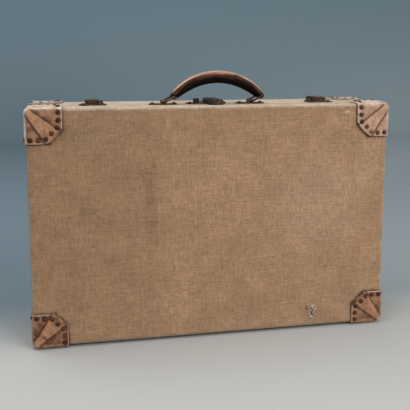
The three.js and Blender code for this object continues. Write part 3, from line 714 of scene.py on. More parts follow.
def cap_leather_finish():
    caps = settings().caps
    finish = Finish("cap leather", roughness=0.6, specular=0.3)
    chart, place = finish.chart(), finish.place()
    soil, creased = finish.value("soil"), finish.value("creased")
    line, smear_and_shade, flush = crease_marks(finish, place, chart)
    mottle = finish.noise(place, 60, 5, 0.62)
    stain = finish.spread(finish.noise(place, 48, 5, 0.72), 0.36, 0.64, 0.4, 1.3)
    # The band beside the creases is painted shade as well as dirt.
    smear_and_shade = finish.times(smear_and_shade, creased, finish.plus(soil, 0.35))
    darkened = finish.times_plus(finish.largest(soil, smear_and_shade), stain, 0, clamp=True)
    tone = finish.mix(finish.spread(finish.noise(place, 28, 3), 0.45, 0.75, 0, 0.3), caps.base, caps.pale)
    near_crease = finish.times_plus(finish.plus(soil, 0.25), finish.times(flush, creased), 0.22, clamp=True)
    flushed = finish.times(finish.spread(finish.noise(place, 75, 4, 0.65), 0.42, 0.7), near_crease)
    # The tops of the upper caps are paler: dust, and painted sheen and top light.
    top_sheen_and_dirt = finish.spread(finish.parts(place)[2], CASE_TOP - 4 * MM, CASE_TOP + 2 * MM, 0, 0.75)
    # The pale rim is a painted highlight along the rounded outer edges as well as bleaching.
    rim = finish.times_plus(finish.value("rim"), stain, 0, clamp=True)
    # The dark lines in the creases are painted shade as well as dirt.
    groove = finish.times(line, creased)
    ragged = finish.times(groove, finish.spread(finish.noise(place, 240), 0.2, 0.6, 0.55, 1))
    for part, colour_there in (
        (flushed, caps.red),
        (darkened, caps.darkened),
        (finish.value("worn"), caps.pale),
        (rim, caps.rim),
        (top_sheen_and_dirt, caps.dust_and_sheen),
        (ragged, caps.dark),
        (finish.value("dark"), caps.dark),
    ):
        tone = finish.mix(part, tone, colour_there)
    finish.bump(groove, -0.6 * MM, 0.9)
    leather_grain(finish, place, chart, mottle)
    tone = finish.shade(tone, finish.spread(mottle, 0.28, 0.72, 0.74, 1.22))
    tone = finish.shade(tone, finish.spread(finish.noise(place, 150, 5, 0.72), 0.3, 0.6, 0.7, 1.1))
    return finish.done(tone, finish.spread(mottle, 0.3, 0.7, 0.5, 0.76))


def nail_finish():
    nails = settings().nails
    finish = Finish("nail metal", roughness=0.45, metallic=0.2, specular=0.16)
    blotches = finish.noise(finish.place(), 500, 4, 0.6)
    # The crown of each head is lighter than its sides: a painted highlight on top and painted shade below.
    top = finish.spread(finish.value("crown"), 0.5, 0.95)
    tone = finish.mix(finish.times(top, finish.value("tone")), nails.dark, nails.base)
    tone = finish.mix(finish.value("faded"), tone, nails.faded)
    tone = finish.shade(tone, finish.spread(blotches, 0.3, 0.7, 0.6, 1.4))
    finish.bump(blotches, 0.12 * MM, 0.5)
    return finish.done(tone, finish.spread(blotches, 0.3, 0.7, 0.55, 0.36))


def strap_leather_finish():
    handle = settings().handle
    finish = Finish("strap leather", roughness=0.65, specular=0.1)
    place = finish.place()
    mottle = finish.noise(place, 90, 4, 0.6)
    tone = finish.mix(finish.spread(mottle, 0.4, 0.72, 0.15, 1), handle.under, handle.strap_tone)
    leather_grain(finish, place, finish.chart(), mottle)
    return finish.done(tone, finish.spread(mottle, 0.3, 0.7, 0.42, 0.7))


def metal_tones():
    metal = settings().metal
    return metal.bright, metal.base, metal.dark


def metal_finish(name, tones, metallic, roughness, wear):
    """Tarnished metal. Its tones are the rubbed, the plain and the dark one, and wear goes from 0 to 1."""
    bright, base, dark = tones
    finish = Finish(name, roughness=roughness, metallic=metallic)
    place = finish.place()
    blotches = finish.noise(place, 160, 5, 0.65)
    tarnish = finish.spread(blotches, 0.5 - 0.3 * wear, 0.8 - 0.3 * wear)
    brightened = finish.spread(finish.noise(place, 420, 3, 0.6), 0.48, 0.7, 0, 0.9 * wear)
    tone = finish.mix(brightened, finish.mix(tarnish, dark, base), bright)
    finish.bump(finish.noise(place, (2400, 260, 700), 2, 0.6), 0.06 * MM, 0.4)
    finish.bump(blotches, 0.18 * MM, 0.5)
    return finish.done(tone, finish.spread(blotches, 0.3, 0.7, roughness + 0.18, roughness - 0.08))


def grip_finish():
    handle = settings().handle
    finish = Finish("grip leather", roughness=0.6, specular=0.09)
    chart, place = finish.chart(), finish.place()
    streaks = finish.noise(chart, (22, 380, 1), 4, 0.65)
    broad_streaks = finish.noise(chart, (12, 130, 1), 3, 0.6)
    height = finish.plus(
        finish.value("height"),
        finish.spread(streaks, 0.2, 0.8, -0.22, 0.22),
        finish.spread(broad_streaks, 0.2, 0.8, -0.15, 0.15),
    )
    tan = finish.mix(finish.spread(broad_streaks, 0.45, 0.6), handle.side, handle.tan)
    worn_off = finish.noise(chart, (16, 170, 3), 4, 0.65)
    top = finish.mix(finish.spread(worn_off, 0.46, 0.62), handle.top, handle.tan)
    # The top of the grip is lighter and its underside near black: painted highlight and painted shade, as
    # well as rubbing and soil.
    tone = finish.mix(finish.spread(height, 0.58, 0.82), tan, top)
    tone = finish.mix(finish.spread(height, 0.38, 0.02), tone, handle.under)
    # Grooves and the insides of the open ends take the underside colour; inside the ends it is painted
    # shade.
    tone = finish.mix(finish.value("groove"), tone, handle.under)
    finish.bump(finish.spread(finish.cells(place, 800), 0, 0.25), 0.1 * MM, 0.45)
    finish.bump(streaks, 0.8 * MM, 0.6)
    tone = finish.shade(tone, finish.spread(streaks, 0.3, 0.7, 0.55, 1.3))
    return finish.done(tone, finish.spread(streaks, 0.3, 0.7, 0.5, 0.75))


def board_finish():
    finish = Finish("raw board", roughness=0.85, specular=0.25)
    fibres = finish.noise(finish.place(), (60, 900, 500), 4, 0.6)
    finish.bump(fibres, 0.2 * MM, 0.5)
    return finish.done(finish.shade(settings().inside.board, finish.spread(fibres, 0.25, 0.75, 0.72, 1.2)))


def lining_finish():
    inside = settings().inside
    finish = Finish("lining cloth", roughness=0.9, specular=0.2)
    finish.set(Sheen_Weight=0.2)
    chart = finish.chart()
    phase = finish.times(finish.parts(chart)[0], 2 * math.pi / inside.stripe_pitch)
    broad = finish.spread(finish.math("SINE", phase), 0.72, 0.9, 0, 0.75)
    fine = finish.spread(finish.math("SINE", finish.times(phase, 4)), 0.75, 0.95, 0, 0.3)
    tone = finish.mix(finish.largest(broad, fine), inside.lining, inside.stripe)
    aged = finish.spread(finish.noise(finish.place(), 11, 4, 0.65), 0.3, 0.75, 1.08, 0.8)
    finish.bump(weave_height(finish, chart, inside.thread_pitch), 0.12 * MM, 0.6)
    return finish.done(finish.shade(tone, aged))


def thread_finish():
    cloth = settings().cloth
    finish = Finish("loose thread", roughness=0.9, specular=0.2)
    place = finish.place()
    strands = finish.noise(place, (900, 900, 900), 2, 0.6)
    finish.bump(strands, 0.2 * MM, 0.6)
    tone = finish.mix(finish.spread(finish.noise(place, 260), 0.3, 0.7), cloth.thread, cloth.pale)
    return finish.done(finish.shade(tone, finish.spread(strands, 0.3, 0.7, 0.85, 1.1)))


# Canvas, torn spot and inside.


def spread(low, high, fine, coarse, margin_low, margin_high):
    """Places from low to high, close together near the two ends."""
    stops = [low, low + margin_low, high - margin_high, high]
    steps = [fine, coarse, fine]
    places = [low]
    for start, end, step in zip(stops, stops[1:], steps):
        count = max(1, round((end - start) / step)) if end > start else 0
        places += [start + (end - start) * (k + 1) / count for k in range(count)]
    return places


def half_net(step, coarse):
    """The sheet over one half of the case: its broad face and its four narrow ones."""
    margin = 14 * MM
    xs = spread(-HALF_WIDTH, HALF_WIDTH, step, coarse, margin, margin)
    zs = spread(MIDDLE - HALF_HEIGHT, MIDDLE + HALF_HEIGHT, step, coarse, margin, margin)
    ys = spread(-HALF_DEPTH, -HALF_SEAM, step, coarse, margin, step)
    net = Net()
    net.patch([[(x, z) for x in xs] for z in zs], lambda x, z: (x, -HALF_DEPTH, z), lambda x, z: (x, z))
    for z, sign, turned in ((zs[-1], 1, False), (zs[0], -1, True)):
        net.patch(
            [[(x, y) for x in xs] for y in ys],
            lambda x, y, z=z: (x, y, z),
            lambda x, y, z=z, sign=sign: (x, z + sign * (y + HALF_DEPTH)),
            turned,
        )
    for side, turned in ((1, False), (-1, True)):
        net.patch(
            [[(y, z) for y in ys] for z in zs],
            lambda y, z, side=side: (side * HALF_WIDTH, y, z),
            lambda y, z, side=side: (side * (HALF_WIDTH + y + HALF_DEPTH), z),
            turned,
        )
    return net


def wall_layer(name, body, side, levels, steps, material, node, dents=0.0, seed=0):
    """One layer of a half's wall, from the outer to the inner level, in fine and in coarse steps."""
    net = half_net(*steps)
    outside, way = laid_on(net.array(), levels[0])
    if dents:
        depth = 0.5 + 0.35 * grain(outside, 0.09, seed) + 0.25 * grain(outside, 0.028, seed + 1)
        outside = outside - way * (np.clip(depth, 0, 1) * dents)[:, None]
    inside, _ = laid_on(net.array(), levels[1])
    mesh = mesh_of(name, *solid_sheet(net, outside, inside, (1, side, 1)))
    return place_object(name, mesh, material, body, [node])


def build_canvas():
    cloth = settings().cloth
    finish = canvas_finish()
    for number, (half, side) in enumerate(HALVES.items()):
        wall_layer(
            f"canvas_{half}", half, side, (0.0, -cloth.thickness), (1.6 * MM, 9 * MM), finish,
            f"{half}_canvas", cloth.dent_depth, 3 * number + 1,
        )


# Tufts of the frayed spot: the place (x, z) of its root, its reach and direction, all in millimetres and
# degrees, and its number of threads.
TUFTS = (
    (177.5, 46.5, 6.5, 150, 7),
    (181.0, 42.5, 7.0, 75, 7),
    (184.5, 43.5, 6.0, 25, 6),
    (180.5, 36.0, 6.0, 215, 6),
    (189.5, 35.0, 7.0, 60, 8),
    (190.5, 28.5, 6.0, -40, 7),
    (183.5, 24.5, 6.5, 250, 7),
    (180.5, 29.0, 5.5, 190, 5),
    (186.5, 30.0, 5.0, 10, 5),
)


def build_fray():
    """Loose threads that stand out of the canvas, each a short bent wire."""
    chance = np.random.default_rng(11)
    radius, taper, sides, steps = 0.42 * MM, 0.55, 6, 7
    threads = []
    for x, z, reach, direction, count in TUFTS:
        for _ in range(count):
            heading = math.radians(direction + chance.uniform(-55, 55))
            size = reach * chance.uniform(0.55, 1.15)
            root = np.array((x + chance.normal(0, 1.0), 0.0, z + chance.normal(0, 1.0)))
            lift, curl = chance.uniform(0.7, 2.6), chance.uniform(-1.4, 1.4)
            path = []
            for part in np.arange(steps + 1) / steps:
                bend = heading + curl * part
                out = 0.25 - lift * math.sin(math.pi * min(1.0, part * 1.15))
                place = root + size * part * np.array((math.cos(bend), 0.0, math.sin(bend))) + (0, out, 0)
                path.append(Vector(place * MM + (0, -HALF_DEPTH, 0)))
            threads.append(round_wire(path, radius, sides, taper=taper))
    mesh = mesh_of("frayed_threads", *merged(threads), flat_angle=80.0)
    place_object("frayed_threads", mesh, thread_finish(), "base")


def build_inside():
    lining, board = lining_finish(), board_finish()
    for half, side in HALVES.items():
        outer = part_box(f"{half}_lining")[1].x - HALF_WIDTH
        levels = (outer, outer - settings().inside.lining_thickness)
        wall_layer(
            f"lining_{half}", half, side, levels, (1.6 * MM, 12 * MM), lining, f"{half}_lining"
        )
    for node in ("base_shell", "lid_shell", "dust_lip_top", "dust_lip_left", "dust_lip_right"):
        finish_node(node, board)


# Corner caps and nails.

# How soiled a cap is beside its wedge, on its wedge and at its cut corner, and how bleached, from 0 to 1.
SOIL = {
    ("base", "top_left"): (0.55, 0.10, 0.85, 0.0),
    ("base", "top_right"): (0.12, 0.02, 0.18, 0.42),
    ("base", "bottom_left"): (1.25, 0.20, 1.00, 0.0),
    ("base", "bottom_right"): (0.60, 0.16, 0.85, 0.0),
    ("lid", "top_left"): (0.35, 0.10, 0.60, 0.25),
    ("lid", "top_right"): (0.40, 0.12, 0.60, 0.20),
    ("lid", "bottom_left"): (0.70, 0.25, 0.70, 0.05),
    ("lid", "bottom_right"): (0.75, 0.20, 0.75, 0.05),
}

# The cap with a crack and the flat place of the crack, and the nail whose finish is gone.
CRACKED_CAP = ("base", "bottom_left")
CRACK = (20.5 * MM, 18.1 * MM)
FADED_NAIL = ("base", "top_right", 2)


def flap_rows(steps):
    """Flat places (a, b) over one flap, by their distances from the corner."""
    caps = settings().caps
    middle = (caps.reach + caps.straight) / 2 + caps.bow
    bend = np.linspace(0, 1, 60)
    outline_a = (1 - bend) ** 2 * caps.reach + 2 * bend * (1 - bend) * middle + bend**2 * caps.straight
    outline_b = (1 - bend) ** 2 * caps.straight + 2 * bend * (1 - bend) * middle + bend**2 * caps.reach
    rows = []
    for j in range(steps + 1):
        b = caps.reach * j / steps
        limit = caps.reach if b <= caps.straight else float(np.interp(b, outline_b, outline_a))
        rows.append([(limit * k / steps, b) for k in range(steps + 1)])
    return rows


def edge_distance(a, b):
    """How far a flat place lies inside the free edge of its flap, and inside the line of its cut corner."""
    caps = settings().caps
    cut = (caps.reach + caps.straight + 1.6 * caps.bow - a - b) * math.sqrt(0.5)
    return np.minimum(np.minimum(caps.reach - a, caps.reach - b), cut), cut


def cap_net():
    """The sheet of a cap at the front top right corner: flaps on the broad face, the top and the end."""
    rows = flap_rows(50)
    net = Net()
    right, front, top = HALF_WIDTH, -HALF_DEPTH, MIDDLE + HALF_HEIGHT
    net.patch(rows, lambda a, b: (right - a, front, top - b), lambda a, b: (-a, -b), True, "broad")
    net.patch(rows, lambda a, b: (right - a, front + b, top), lambda a, b: (-a, b), False, "top")
    net.patch(rows, lambda a, b: (right, front + a, top - b), lambda a, b: (a, -b), False, "end")
    return net


def nail_places(count):
    """Flat places of a row of nails along the free edge of a flap."""
    caps, nails = settings().caps, settings().nails
    far = caps.reach - nails.margin
    bend = caps.straight + nails.margin * (1 - math.sqrt(2))
    path = np.array([(nails.start, far), (bend, far), (far, bend), (far, nails.start)])
    run = np.concatenate([[0], np.cumsum(np.linalg.norm(np.diff(path, axis=0), axis=1))])
    stops = np.linspace(0, run[-1], count)
    return np.stack([np.interp(stops, run, path[:, 0]), np.interp(stops, run, path[:, 1])], 1)


class CapSheet:
    """The sheet that all caps are folded from, and what is known of each of its points."""

    def __init__(self):
        nails = settings().nails
        self.net = cap_net()
        self.sharp = self.net.array()
        self.kinds, self.a, self.b = (np.array(values) for values in zip(*self.net.notes))
        self.inside, self.way = laid_on(self.sharp, 0.15 * MM)
        self.from_corner = np.hypot(self.a, self.b)
        self.from_edge, self.from_cut = edge_distance(self.a, self.b)
        self.into_wedge = [run * self.b - rise * self.a - offset for run, rise, offset in crease_planes()]
        first, second = (smooth_share(away, -0.4 * MM, 2.2 * MM) for away in self.into_wedge)
        self.wedge = first * second
        strength = np.where(self.kinds == "broad", 1.0, 0.5)
        self.creased = strength * smooth_share(self.from_corner, 4 * MM, 14 * MM)
        self.from_nail = np.full(len(self.a), 1.0)
        counts = {"broad": nails.broad_count, "top": nails.narrow_count, "end": nails.narrow_count}
        for kind, count in counts.items():
            for a, b in nail_places(count):
                gap = np.where(self.kinds == kind, np.hypot(self.a - a, self.b - b), 1.0)
                self.from_nail = np.minimum(self.from_nail, gap)


def cap_level(sheet, seed):
    """How far the outside of a cap stands above its inside, with its wedge, creases, lumps and dimples."""
    caps = settings().caps
    creases = sum(np.exp(-((away / (1.4 * MM)) ** 2)) for away in sheet.into_wedge)
    relief = (caps.tuck * sheet.wedge - caps.crease * np.clip(creases, 0, 1)) * sheet.creased
    relief += caps.lump * grain(sheet.sharp, 0.018, seed)
    relief += caps.wrinkle * grain(sheet.sharp, 0.006, seed + 20)
    relief -= caps.dimple * np.exp(-((sheet.from_nail / (5 * MM)) ** 2))
    relief -= caps.roll * np.exp(-np.maximum(sheet.from_edge, 0) / (0.9 * MM))
    return np.clip(caps.leather + relief, 0.6 * MM, caps.leather + 1.2 * MM)


def crack_at(kinds, a, b):
    """A short dark crack across the lower end of a wedge."""
    a, b = a - CRACK[0], b - CRACK[1]
    across, along = np.abs(a - b) / math.sqrt(2), np.abs(a + b) / math.sqrt(2)
    crack = 0.95 * smooth_share(along, 1.9 * MM, 0.9 * MM) * (across < 5.5 * MM)
    return np.where(kinds == "broad", crack, 0)


def cap_notes(sheet, half, corner, on_top, seed):
    """Values at a cap's points: how soiled, creased, worn, dark and bleached at its rim the leather is. The
    pale rim is a painted highlight along the rounded outer edges as well as bleaching, and the dark ring
    round each nail is painted shadow as well as grime.
    """
    beside, on_wedge, at_cut, bleached = SOIL[half, corner]
    kinds, a, b = sheet.kinds, sheet.a, sheet.b
    soil = beside + (on_wedge - beside) * sheet.wedge
    soil += (0.1 + 0.3 * beside) * grain(sheet.sharp, 0.012, seed + 40)
    patches = 0.8 + 0.4 * grain(sheet.sharp, 0.007, seed + 50)
    soil += at_cut * smooth_share(sheet.from_cut, 10 * MM, 3 * MM) * patches
    # The ring round each nail is painted shadow as well as grime.
    soil = np.maximum(soil, 0.95 * smooth_share(sheet.from_nail, 5.6 * MM, 3.8 * MM))
    if not on_top:
        soil *= 1 - 0.75 * np.where(kinds == "broad", smooth_share(b, 9 * MM, 4 * MM), 0)
    tip = 0.8 * smooth_share(sheet.from_corner, 16 * MM, 3 * MM)
    fold = smooth_share(np.minimum(a, b), 4 * MM, 1 * MM) * (0.85 if on_top else 0.35)
    edge = 0.9 * smooth_share(sheet.from_edge, 2.6 * MM, 0.6 * MM)
    worn = np.maximum(np.maximum(tip, fold), edge) + 0.2 * grain(sheet.sharp, 0.01, seed + 60)
    worn = np.maximum(np.clip(worn, 0, 0.95) * (1 - 0.4 * beside), bleached)
    # The pale rim along the outer edges is a painted highlight as well as bleaching.
    rim = np.where(kinds == "end", smooth_share(a, 9 * MM, 6 * MM), smooth_share(a, 1.6 * MM, 0.2 * MM))
    rim = np.maximum(rim, 0.6 * smooth_share(b, 3 * MM, 0.5 * MM)) * (0.95 if on_top else 0.2)
    # The dark ring round each nail is painted shadow as well as grime.
    dark = 0.8 * smooth_share(sheet.from_nail, 5 * MM, 3.9 * MM)
    if (half, corner) == CRACKED_CAP:
        dark = np.maximum(dark, crack_at(kinds, a, b))
    soil, worn = np.clip(soil, 0, 1), np.clip(worn, 0, 1)
    notes = {"soil": soil, "creased": sheet.creased, "worn": worn, "dark": dark, "rim": rim}
    return {key: np.concatenate([values, values]) for key, values in notes.items()}


def build_caps():
    leather = cap_leather_finish()
    sheet = CapSheet()
    for half, corner, signs, number in all_corners():
        outside = sheet.inside + sheet.way * cap_level(sheet, number)[:, None]
        solid = solid_sheet(sheet.net, outside, sheet.inside, signs)
        notes = cap_notes(sheet, half, corner, signs[2] > 0, number)
        name = f"cap_{half}_{corner}"
        mesh = mesh_of(name, *solid, notes, flat_angle=55.0)
        place_object(name, mesh, leather, half, [f"{half}_corner_{corner}"])


def dome(radius, height, sink, sides=18, rings=5):
    """Points and faces of a domed head that points up, with its rim at z 0 and its base sunk below."""
    points = [(0, 0, height)]
    for ring in range(1, rings + 1):
        angle = ring / rings * math.pi / 2
        size, level = radius * math.sin(angle), height * math.cos(angle)
        points += [(size * math.cos(t), size * math.sin(t), level) for t in circle_steps(sides)]
    size = 0.94 * radius
    points += [(size * math.cos(t), size * math.sin(t), -sink) for t in circle_steps(sides)]
    faces = [(0, 1 + k, 1 + (k + 1) % sides) for k in range(sides)]
    for ring in range(rings):
        low, high = 1 + ring * sides, 1 + (ring + 1) * sides
        faces += [(low + k, high + k, high + (k + 1) % sides, low + (k + 1) % sides) for k in range(sides)]
    faces.append(tuple(reversed(range(1 + rings * sides, 1 + (rings + 1) * sides))))
    return np.array(points, float), faces


def heads_mesh(name, heads, notes, sides=18):
    """One mesh of many domed heads, each given by its place, its way out, radius, height and sink.
    Each note gives one value for each head."""
    shapes, crowns = [], []
    for place, way, radius, height, sink in heads:
        points, faces = dome(radius, height, sink, sides)
        turn = np.array(Vector(way).to_track_quat("Z", "Y").to_matrix())
        shapes.append((points @ turn.T + np.array(place), faces))
        crowns.append(np.clip(dome(1.0, 1.0, sink, sides)[0][:, 2], 0, 1))
    values = {key: np.repeat(value, len(crowns[0])) for key, value in notes.items()}
    values["crown"] = np.concatenate(crowns)
    return mesh_of(name, *merged(shapes), notes=values, flat_angle=60.0)


def build_nails():
    caps, nails = settings().caps, settings().nails
    finish = nail_finish()
    right, front, top = HALF_WIDTH, -HALF_DEPTH, MIDDLE + HALF_HEIGHT
    spots = [(right - a, front, top - b) for a, b in nail_places(nails.broad_count)]
    for a, b in nail_places(nails.narrow_count):
        spots += [(right - a, front + b, top), (right, front + a, top - b)]
    seated, straight = laid_on(np.array(spots, float), caps.leather + 0.1 * MM)
    for half, corner, signs, number in all_corners():
        chance = np.random.default_rng(100 + number)
        tilt = chance.normal(0, 0.05, straight.shape) * (1 - np.abs(straight))
        way = straight + tilt * (straight[:, 1:2] < -0.5)
        way = way / np.linalg.norm(way, axis=1, keepdims=True) * np.array(signs)
        heads = [(p, w, nails.radius, nails.height, 0.9 * MM) for p, w in zip(mirrored(seated, signs), way)]
        faded = np.array([0.8 if (half, corner, k) == FADED_NAIL else 0.0 for k in range(len(heads))])
        notes = {"tone": chance.uniform(0.3, 1.0, len(heads)), "faded": faded}
        name = f"nails_{half}_{corner}"
        place_object(name, heads_mesh(name, heads, notes), finish, half)


# Handle.

# Radius of the solid's loops, which sets where their middles are, and the inner rims of the grip's open
# ends: places along the grip and sizes, as shares.
LOOP = 7 * MM
GRIP_MOUTH = ((1.0, 0.90), (1.0, 0.80), (0.965, 0.76))


class HandleArc:
    """The arc that the handle follows, between the middles of its two loops."""

    def __init__(self):
        low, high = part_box("handle_core")
        self.left = Vector(JOINTS["handle_pivot"]["pos_m"])
        self.span = high.x - low.x - 2 * LOOP
        half, rise = self.span / 2, high.z - settings().handle.strap / 2 - self.left.z
        self.radius = (half**2 + rise**2) / (2 * rise)
        self.angle = math.asin(half / self.radius)
        self.centre = self.left + Vector((half, 0, rise - self.radius))

    def out(self, angle):
        return Vector((math.sin(angle), 0, math.cos(angle)))

    def at(self, angle, height=0.0, across=0.0):
        return self.centre + self.out(angle) * (self.radius + height) + Vector((0, across, 0))


def build_grip(arc):
    """The padded grip: a leather tube along the arc, open at both ends where the strap comes out."""
    handle = settings().handle
    reach = arc.angle - handle.grip_start / arc.radius
    sections, sides, squareness = 80, 44, 2.25
    around = math.pi * (handle.grip_height + handle.grip_width) / 2
    stations = [(2 * step / sections - 1, 1.0) for step in range(sections + 1)]
    stations = [(-part, size) for part, size in reversed(GRIP_MOUTH)] + stations + list(GRIP_MOUTH)
    points, maps, heights, grooves = [], [], [], []
    for part, shrink in stations:
        slim = part**4
        tall = (handle.grip_height * (1 - slim) + handle.grip_end_height * slim) / 2
        wide = (handle.grip_width * (1 - slim) + handle.grip_end_width * slim) / 2
        close = float(smooth_share(abs(part), 0.998, 0.975))
        # Inside the open ends the leather takes the underside colour as painted shade; it also darkens
        # towards the ends.
        end = max(1.0 if shrink < 0.85 else 0.0, 0.55 * float(smooth_share(abs(part), 0.9, 1.0)))
        for side in range(sides):
            turn = 2 * math.pi * side / sides
            up, over = math.cos(turn), math.sin(turn)
            squared = (abs(up) ** squareness + abs(over) ** squareness) ** (-1 / squareness)
            seam = math.exp(-(((abs(turn - math.pi) - 0.16) / 0.05) ** 2))
            ridge = math.exp(-(((abs(over) - 0.93) / 0.06) ** 2)) * (1 if up > 0 else 0)
            wobble = noise.noise(Vector((part * 3.2, up * 0.8, over * 0.8)) * 1.6)
            size = (1 + 0.02 * wobble - 0.03 * seam - 0.03 * ridge) * (0.93 + 0.07 * close) * shrink
            height = min(tall * squared * up * size, tall)
            points.append(arc.at(part * reach, height, -wide * squared * over * size))
            maps.append((part * reach * arc.radius, side / sides * around))
            heights.append(up)
            grooves.append(min(1.0, max(end, seam + 0.35 * ridge)))
    faces, charts = [], []
    last = len(stations) - 1
    for step in range(last):
        for side in range(sides):
            low, high, after = step * sides, (step + 1) * sides, (side + 1) % sides
            face = [low + side, high + side, high + after, low + after]
            chart = [maps[n] for n in face]
            if after == 0:
                chart = [*chart[:2], (chart[2][0], around), (chart[3][0], around)]
            faces.append(face)
            charts.append(chart)
    for ring in (range(sides), reversed(range(last * sides, (last + 1) * sides))):
        faces.append(list(ring))
        charts.append([maps[n] for n in faces[-1]])
    mesh = mesh_of("grip_leather", points, faces, charts, {"height": heights, "groove": grooves}, 50.0)
    place_object("grip_leather", mesh, grip_finish(), "handle", ["handle_grip"])


def flat_curve(name, loops, half_width, round_off):
    """A solid cut from a flat outline with holes, with rounded edges. Loops are lists of (x, z)."""
    curve = bpy.data.curves.new(name, "CURVE")
    curve.dimensions = "2D"
    curve.fill_mode = "BOTH"
    curve.extrude = half_width - round_off
    curve.bevel_depth = round_off
    curve.bevel_resolution = 2
    curve.offset = -round_off
    for loop in loops:
        spline = curve.splines.new("POLY")
        spline.points.add(len(loop) - 1)
        spline.points.foreach_set("co", [v for x, z in loop for v in (x, z, 0, 1)])
        spline.use_cyclic_u = True
    holder = bpy.data.objects.new(name, curve)
    bpy.context.scene.collection.objects.link(holder)
    bpy.context.view_layer.update()
    mesh = bpy.data.meshes.new_from_object(holder.evaluated_get(bpy.context.evaluated_depsgraph_get()))
    bpy.data.objects.remove(holder)
    bpy.data.curves.remove(curve)
    mesh.transform(Matrix.Rotation(math.radians(90), 4, "X"))
    return mesh


def add_cloth_map(mesh):
    """A cloth map for a mesh without one: its places seen from the front."""
    layer = mesh.uv_layers.new(name="cloth")
    for loop in mesh.loops:
        place = mesh.vertices[loop.vertex_index].co
        layer.data[loop.index].uv = (place.x + place.y, place.z)
    mesh.polygons.foreach_set("use_smooth", [True] * len(mesh.polygons))
    mesh.set_sharp_from_angle(angle=math.radians(40))


def build_strap(arc):
    """The strap that runs through the grip and turns round a ring at each end."""
    handle = settings().handle
    half = handle.strap / 2
    meet = math.asin(half / handle.loop_radius)
    back = handle.loop_radius * math.cos(meet) / arc.radius

    def loop_side(side):
        centre, out = arc.at(side * arc.angle), arc.out(side * arc.angle)
        along = Vector((side * math.cos(arc.angle), 0, -math.sin(arc.angle)))
        turns = [meet + (2 * math.pi - 2 * meet) * k / 20 for k in range(21)]
        ways = [out * math.sin(turn) - along * math.cos(turn) for turn in turns]
        return [centre + handle.loop_radius * way for way in ways]

    steps = [(-1 + 2 * k / 40) * (arc.angle - back) for k in range(1, 40)]
    outline = [arc.at(angle, half) for angle in steps] + loop_side(1)
    outline += [arc.at(angle, -half) for angle in reversed(steps)] + loop_side(-1)[::-1]
    loops = [[(p.x, p.z) for p in outline]]
    for side in (-1, 1):
        x, _, z = arc.at(side * arc.angle)
        bore = handle.loop_bore
        loops.append([(x + bore * math.cos(t), z + bore * math.sin(t)) for t in circle_steps(16)])
    mesh = flat_curve("strap", loops, handle.strap_width / 2, 0.8 * MM)
    mesh.transform(Matrix.Translation((0, arc.left.y, 0)))
    add_cloth_map(mesh)
    place_object("handle_strap", mesh, strap_leather_finish(), "handle", ["handle_core"])


def build_rings(arc):
    """Two rounded rectangles of wire, from the plates up to the loops of the strap."""
    handle = settings().handle
    finish = metal_finish("ring wire", metal_tones(), 0.85, 0.4, 0.45)
    half, bend = handle.ring_width / 2, handle.ring_bend
    for number, side in enumerate(("left", "right")):
        low = Vector(JOINTS[f"ring_{side}_swing"]["pos_m"])
        rise = arc.left + Vector((arc.span * number, 0, 0)) - low
        up = rise.normalized()
        path = []
        for corner in range(4):
            y = (half - bend) * (1 if corner in (0, 3) else -1)
            height = rise.length / 2 + (rise.length / 2 - bend) * (1 if corner in (0, 1) else -1)
            for step in range(9):
                turn = (corner + step / 8) * math.pi / 2
                level = height + bend * math.sin(turn)
                path.append(low + (Vector((0, y + bend * math.cos(turn), 0)) + up * level))
        name = f"ring_wire_{side}"
        mesh = mesh_of(name, *round_wire(path, handle.wire, 16, closed=True))
        place_object(name, mesh, finish, f"ring_{side}", [f"handle_ring_{side}"])


def build_handle():
    arc = HandleArc()
    build_grip(arc)
    build_strap(arc)
    build_rings(arc)


# Metal fittings. Their places are in millimetres from the middle of the case.

# The middle of each latch.
LATCHES = {"latch_left": -210, "latch_right": 210, "lock": 6}

# Rivet heads: their body, place (x, y) and radius.
RIVET, SMALL_RIVET = 3.6, 2.65
RIVETS = (
    *(("base", middle + side * 17, -27, RIVET) for middle in (-210, 210) for side in (-1, 1)),
    *(("base", x, -29, RIVET) for x in (-37, 25)),
    *(("base", middle + side * 19.5, -30, RIVET) for middle in (-86, 74) for side in (-1, 1)),
    *(("lid", middle + side * 7.9, 17, SMALL_RIVET) for middle in (-210, 210) for side in (-1, 1)),
    *(("lid", 6 + side * 6.9, 17, SMALL_RIVET) for side in (-1, 1)),
)

# Return springs: latch, joint, side of the fixed end, place from front to back, distances of the fixed and
# of the moving end from the latch's middle, and length when pushed, as a share of the whole length.
SPRINGS = (
    ("latch_left", "slide_left_push", 1, -15, 10.5, 6.4, 0.37),
    ("latch_right", "slide_right_push", -1, -15, 10.5, 6.4, 0.37),
    ("lock", "slide_middle_push", -1, -18, 11.5, 6.4, 0.3),
)


